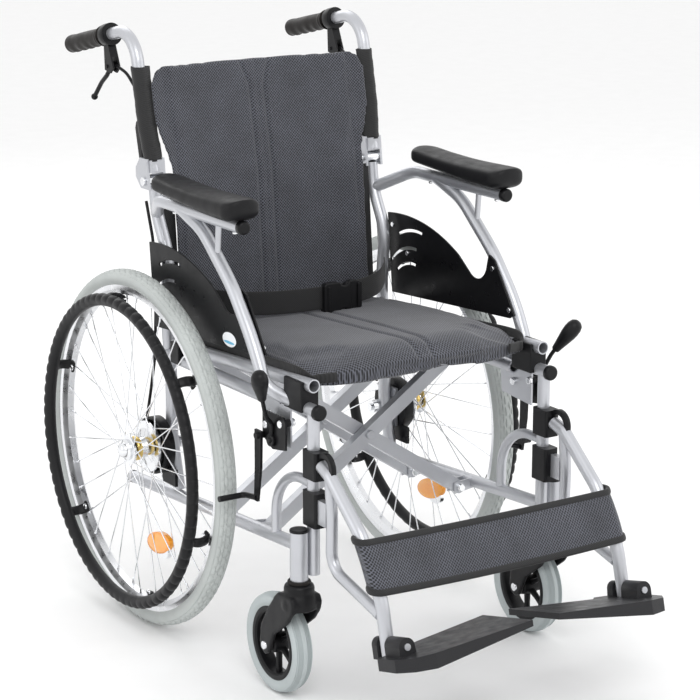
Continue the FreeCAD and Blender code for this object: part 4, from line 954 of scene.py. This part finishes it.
def lap_belt():
    """Webbing from tube to tube across the seat, with a little slack."""
    low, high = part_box("lap_belt")
    rise = (low.z + high.z) / 2 / MM
    route = [(-191.0, -22.0, 8.0), (-172.0, -52.0, 6.0), (-128.0, -92.0, 2.0), (-66.0, -114.0, 0.0),
             (0.0, -121.5, 0.0), (66.0, -116.0, 0.0), (128.0, -92.0, 2.0), (172.0, -50.0, 6.0),
             (191.0, -22.0, 8.0)]
    path = curve_through([at(1, out, back, rise + lift) for out, back, lift in route], 140)

    def section(t):
        return superellipse(2.0, BELT_WIDTH - 0.6 * sin(9 * t) ** 2, 5.0, 20)
    belt = mesh_object("belt_webbing", sweep(path, section), 60.0)
    place_piece(paint(belt, TAPE_UPRIGHT), "seat_carrier", "webbing", "lap_belt")
    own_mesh(belt)


def buckle():
    """A side-release buckle: the body with its two side windows, the prongs and the bar."""
    low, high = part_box("belt_buckle")
    centre = (low + high) / 2 + Vector((0.004, 0, -0.003))
    half_w, half_h = 36.0, 25.0

    def plate_of(points, near, far, bevel, name):
        ring = [centre + Vector((x, near, z)) * MM for x, z in points]
        other = [centre + Vector((x, far, z)) * MM for x, z in points]
        return settle(bevelled(mesh_object(name, prism(ring, other)), bevel, 3))
    body = [(-half_w, -half_h + 4), (-half_w + 4, -half_h), (-8, -half_h), (-4, -half_h + 5),
            (2, -half_h + 7), (8, -half_h + 5), (11, -half_h), (15, -half_h), (15, half_h), (11, half_h),
            (8, half_h - 5), (2, half_h - 7), (-4, half_h - 5), (-8, half_h), (-half_w + 4, half_h),
            (-half_w, half_h - 4)]
    prongs = [(12, -half_h + 1), (24, -half_h), (half_w, -half_h + 5), (half_w, half_h - 5), (24, half_h),
              (12, half_h - 1), (6, half_h - 2), (2, half_h - 9), (2, -half_h + 9), (6, -half_h + 2)]
    bars = [[(x - 2.2, -half_h + 5), (x + 2.2, -half_h + 5), (x + 2.2, half_h - 5), (x - 2.2, half_h - 5)]
            for x in (-half_w + 8, half_w - 8)]
    pieces = [plate_of(body, -6.5, 6.5, 2.2, "buckle_body"),
              plate_of(prongs, -4.6, 4.6, 1.8, "buckle_prongs")]
    for number, bar in enumerate(bars):
        pieces.append(plate_of(bar, -8.0, -3.0, 1.2, "buckle_bar_%d" % number))
    for piece in pieces:
        place_piece(paint(piece, BLACK_PLASTIC), "buckle", "black_plastic",
                    *(["belt_buckle"] if piece is pieces[0] else []))


# Along the strap from the middle: its whole reach, and where it starts to turn round the tube.
STRAP_REACH, STRAP_STRAIGHT = 244.0, 210.0
STRAP_TURN = 14.0                   # radius of that turn


def calf_strap():
    """A padded mesh strap across the hangers, bound in black along both edges."""
    low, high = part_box("calf_strap")
    up_low, up_high = low.z / MM, high.z / MM
    back_high, back_low = (high.y - AXLE.y) / MM, (low.y - AXLE.y) / MM
    rows, cols, deep = 26, 96, 5.0

    def middle(share, height):
        """A point of the strap's middle surface, share from -1 to 1 across it."""
        reach = abs(share) * STRAP_REACH
        turn = max(reach - STRAP_STRAIGHT, 0.0) / STRAP_TURN
        out = (min(reach, STRAP_STRAIGHT) + STRAP_TURN * sin(turn)) * (1 if share > 0 else -1)
        lean = back_low + 3.0 + (back_high - back_low - 6.0) * height
        sag = 10.0 * (1 - share * share)
        bulge = -3.0 * sin(pi * height)
        wrap = STRAP_TURN * (1 - cos(turn))
        droop = -8.0 * (1 - share * share)
        up = up_low + 2.0 + (up_high - up_low - 4.0) * height + droop * (0.6 + 0.4 * (1 - height))
        return at(1, out, lean + sag * 0.6 + bulge + wrap, up)

    def point(i, j):
        share = -1 + 2 * i / (cols - 1)
        front = j < rows
        height = (j if front else 2 * rows - 1 - j) / (rows - 1)
        place = middle(share, height)
        puff = deep * (0.35 + 0.65 * sin(pi * min(max(height, 0.0), 1.0)) ** 0.35)
        quilt = 0.35 * sin(share * 60.0) * sin(pi * height) ** 2
        offset = (-(puff / 2 + quilt) if front else puff / 2)
        return place + Vector((0, offset, offset * -0.5)) * MM
    obj = mesh_object("calf_strap_pad", grid(cols, 2 * rows, point, wrap_cols=True, caps=True), 60.0)
    paint(obj, MESH_UPRIGHT)
    place_piece(obj, "hanger_body_right", "mesh_fabric", "calf_strap")
    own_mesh(obj)
    for label, height in (("top", 0.975), ("bottom", 0.025)):
        path = [middle(-1 + 2 * i / 95, height) + Vector((0, -0.8, 0.4)) * MM for i in range(96)]
        across = Vector((0, 0.5, 1)).normalized()
        tape = mesh_object("calf_binding_" + label,
                           sweep(path, lambda t: superellipse(deep + 2.4, 10.0, 3.0, 16), up=across), 60.0)
        place_piece(paint(tape, TAPE_UPRIGHT), "hanger_body_right", "webbing")
        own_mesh(tape)


# ================= trim =================
def plain_label():
    """A plain oval sticker on the right side guard, with no mark on it."""
    low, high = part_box("side_guard_right")
    centre = Vector((low.x - 0.25 * MM, AXLE.y - 232.0 * MM, 0.506))
    for name, scale, lift, material in (("guard_label", 1.0, 0.0, LABEL_WHITE),
                                        ("guard_label_band", 0.8, 0.25, LABEL_BLUE)):
        tall = 11.0 * scale if name == "guard_label" else 2.2
        shift = 0.0 if name == "guard_label" else -4.2
        profile = [(0.0, 0.5), (0.94, 0.45), (1.0, 0.0), (0.94, -0.2), (0.0, -0.2)]

        def point(i, j):
            angle = 2 * pi * i / 40
            radius, offset = profile[j]
            return centre + Vector((-(offset + lift), 20.0 * scale * radius * cos(angle),
                                    tall * radius * sin(angle) + shift)) * MM
        obj = mesh_object(name, grid(40, len(profile), point, wrap_rows=True))
        place_piece(paint(obj, material), "right_frame", "guard_plastic")


for name in SIDES:
    rear_tyre(name)
    handrim(name)
    reflector(name)
    hub_trim(name)
    caster_wheel(name)
    caster_fork(name)
    hand_grip(name)
    arm_pad(name)
    parking_lever(name)
back_pad()
for name in SIDES:
    lower_band(name)
    upper_sleeve(name)
seat_pad()
lap_belt()
buckle()
calf_strap()
plain_label()
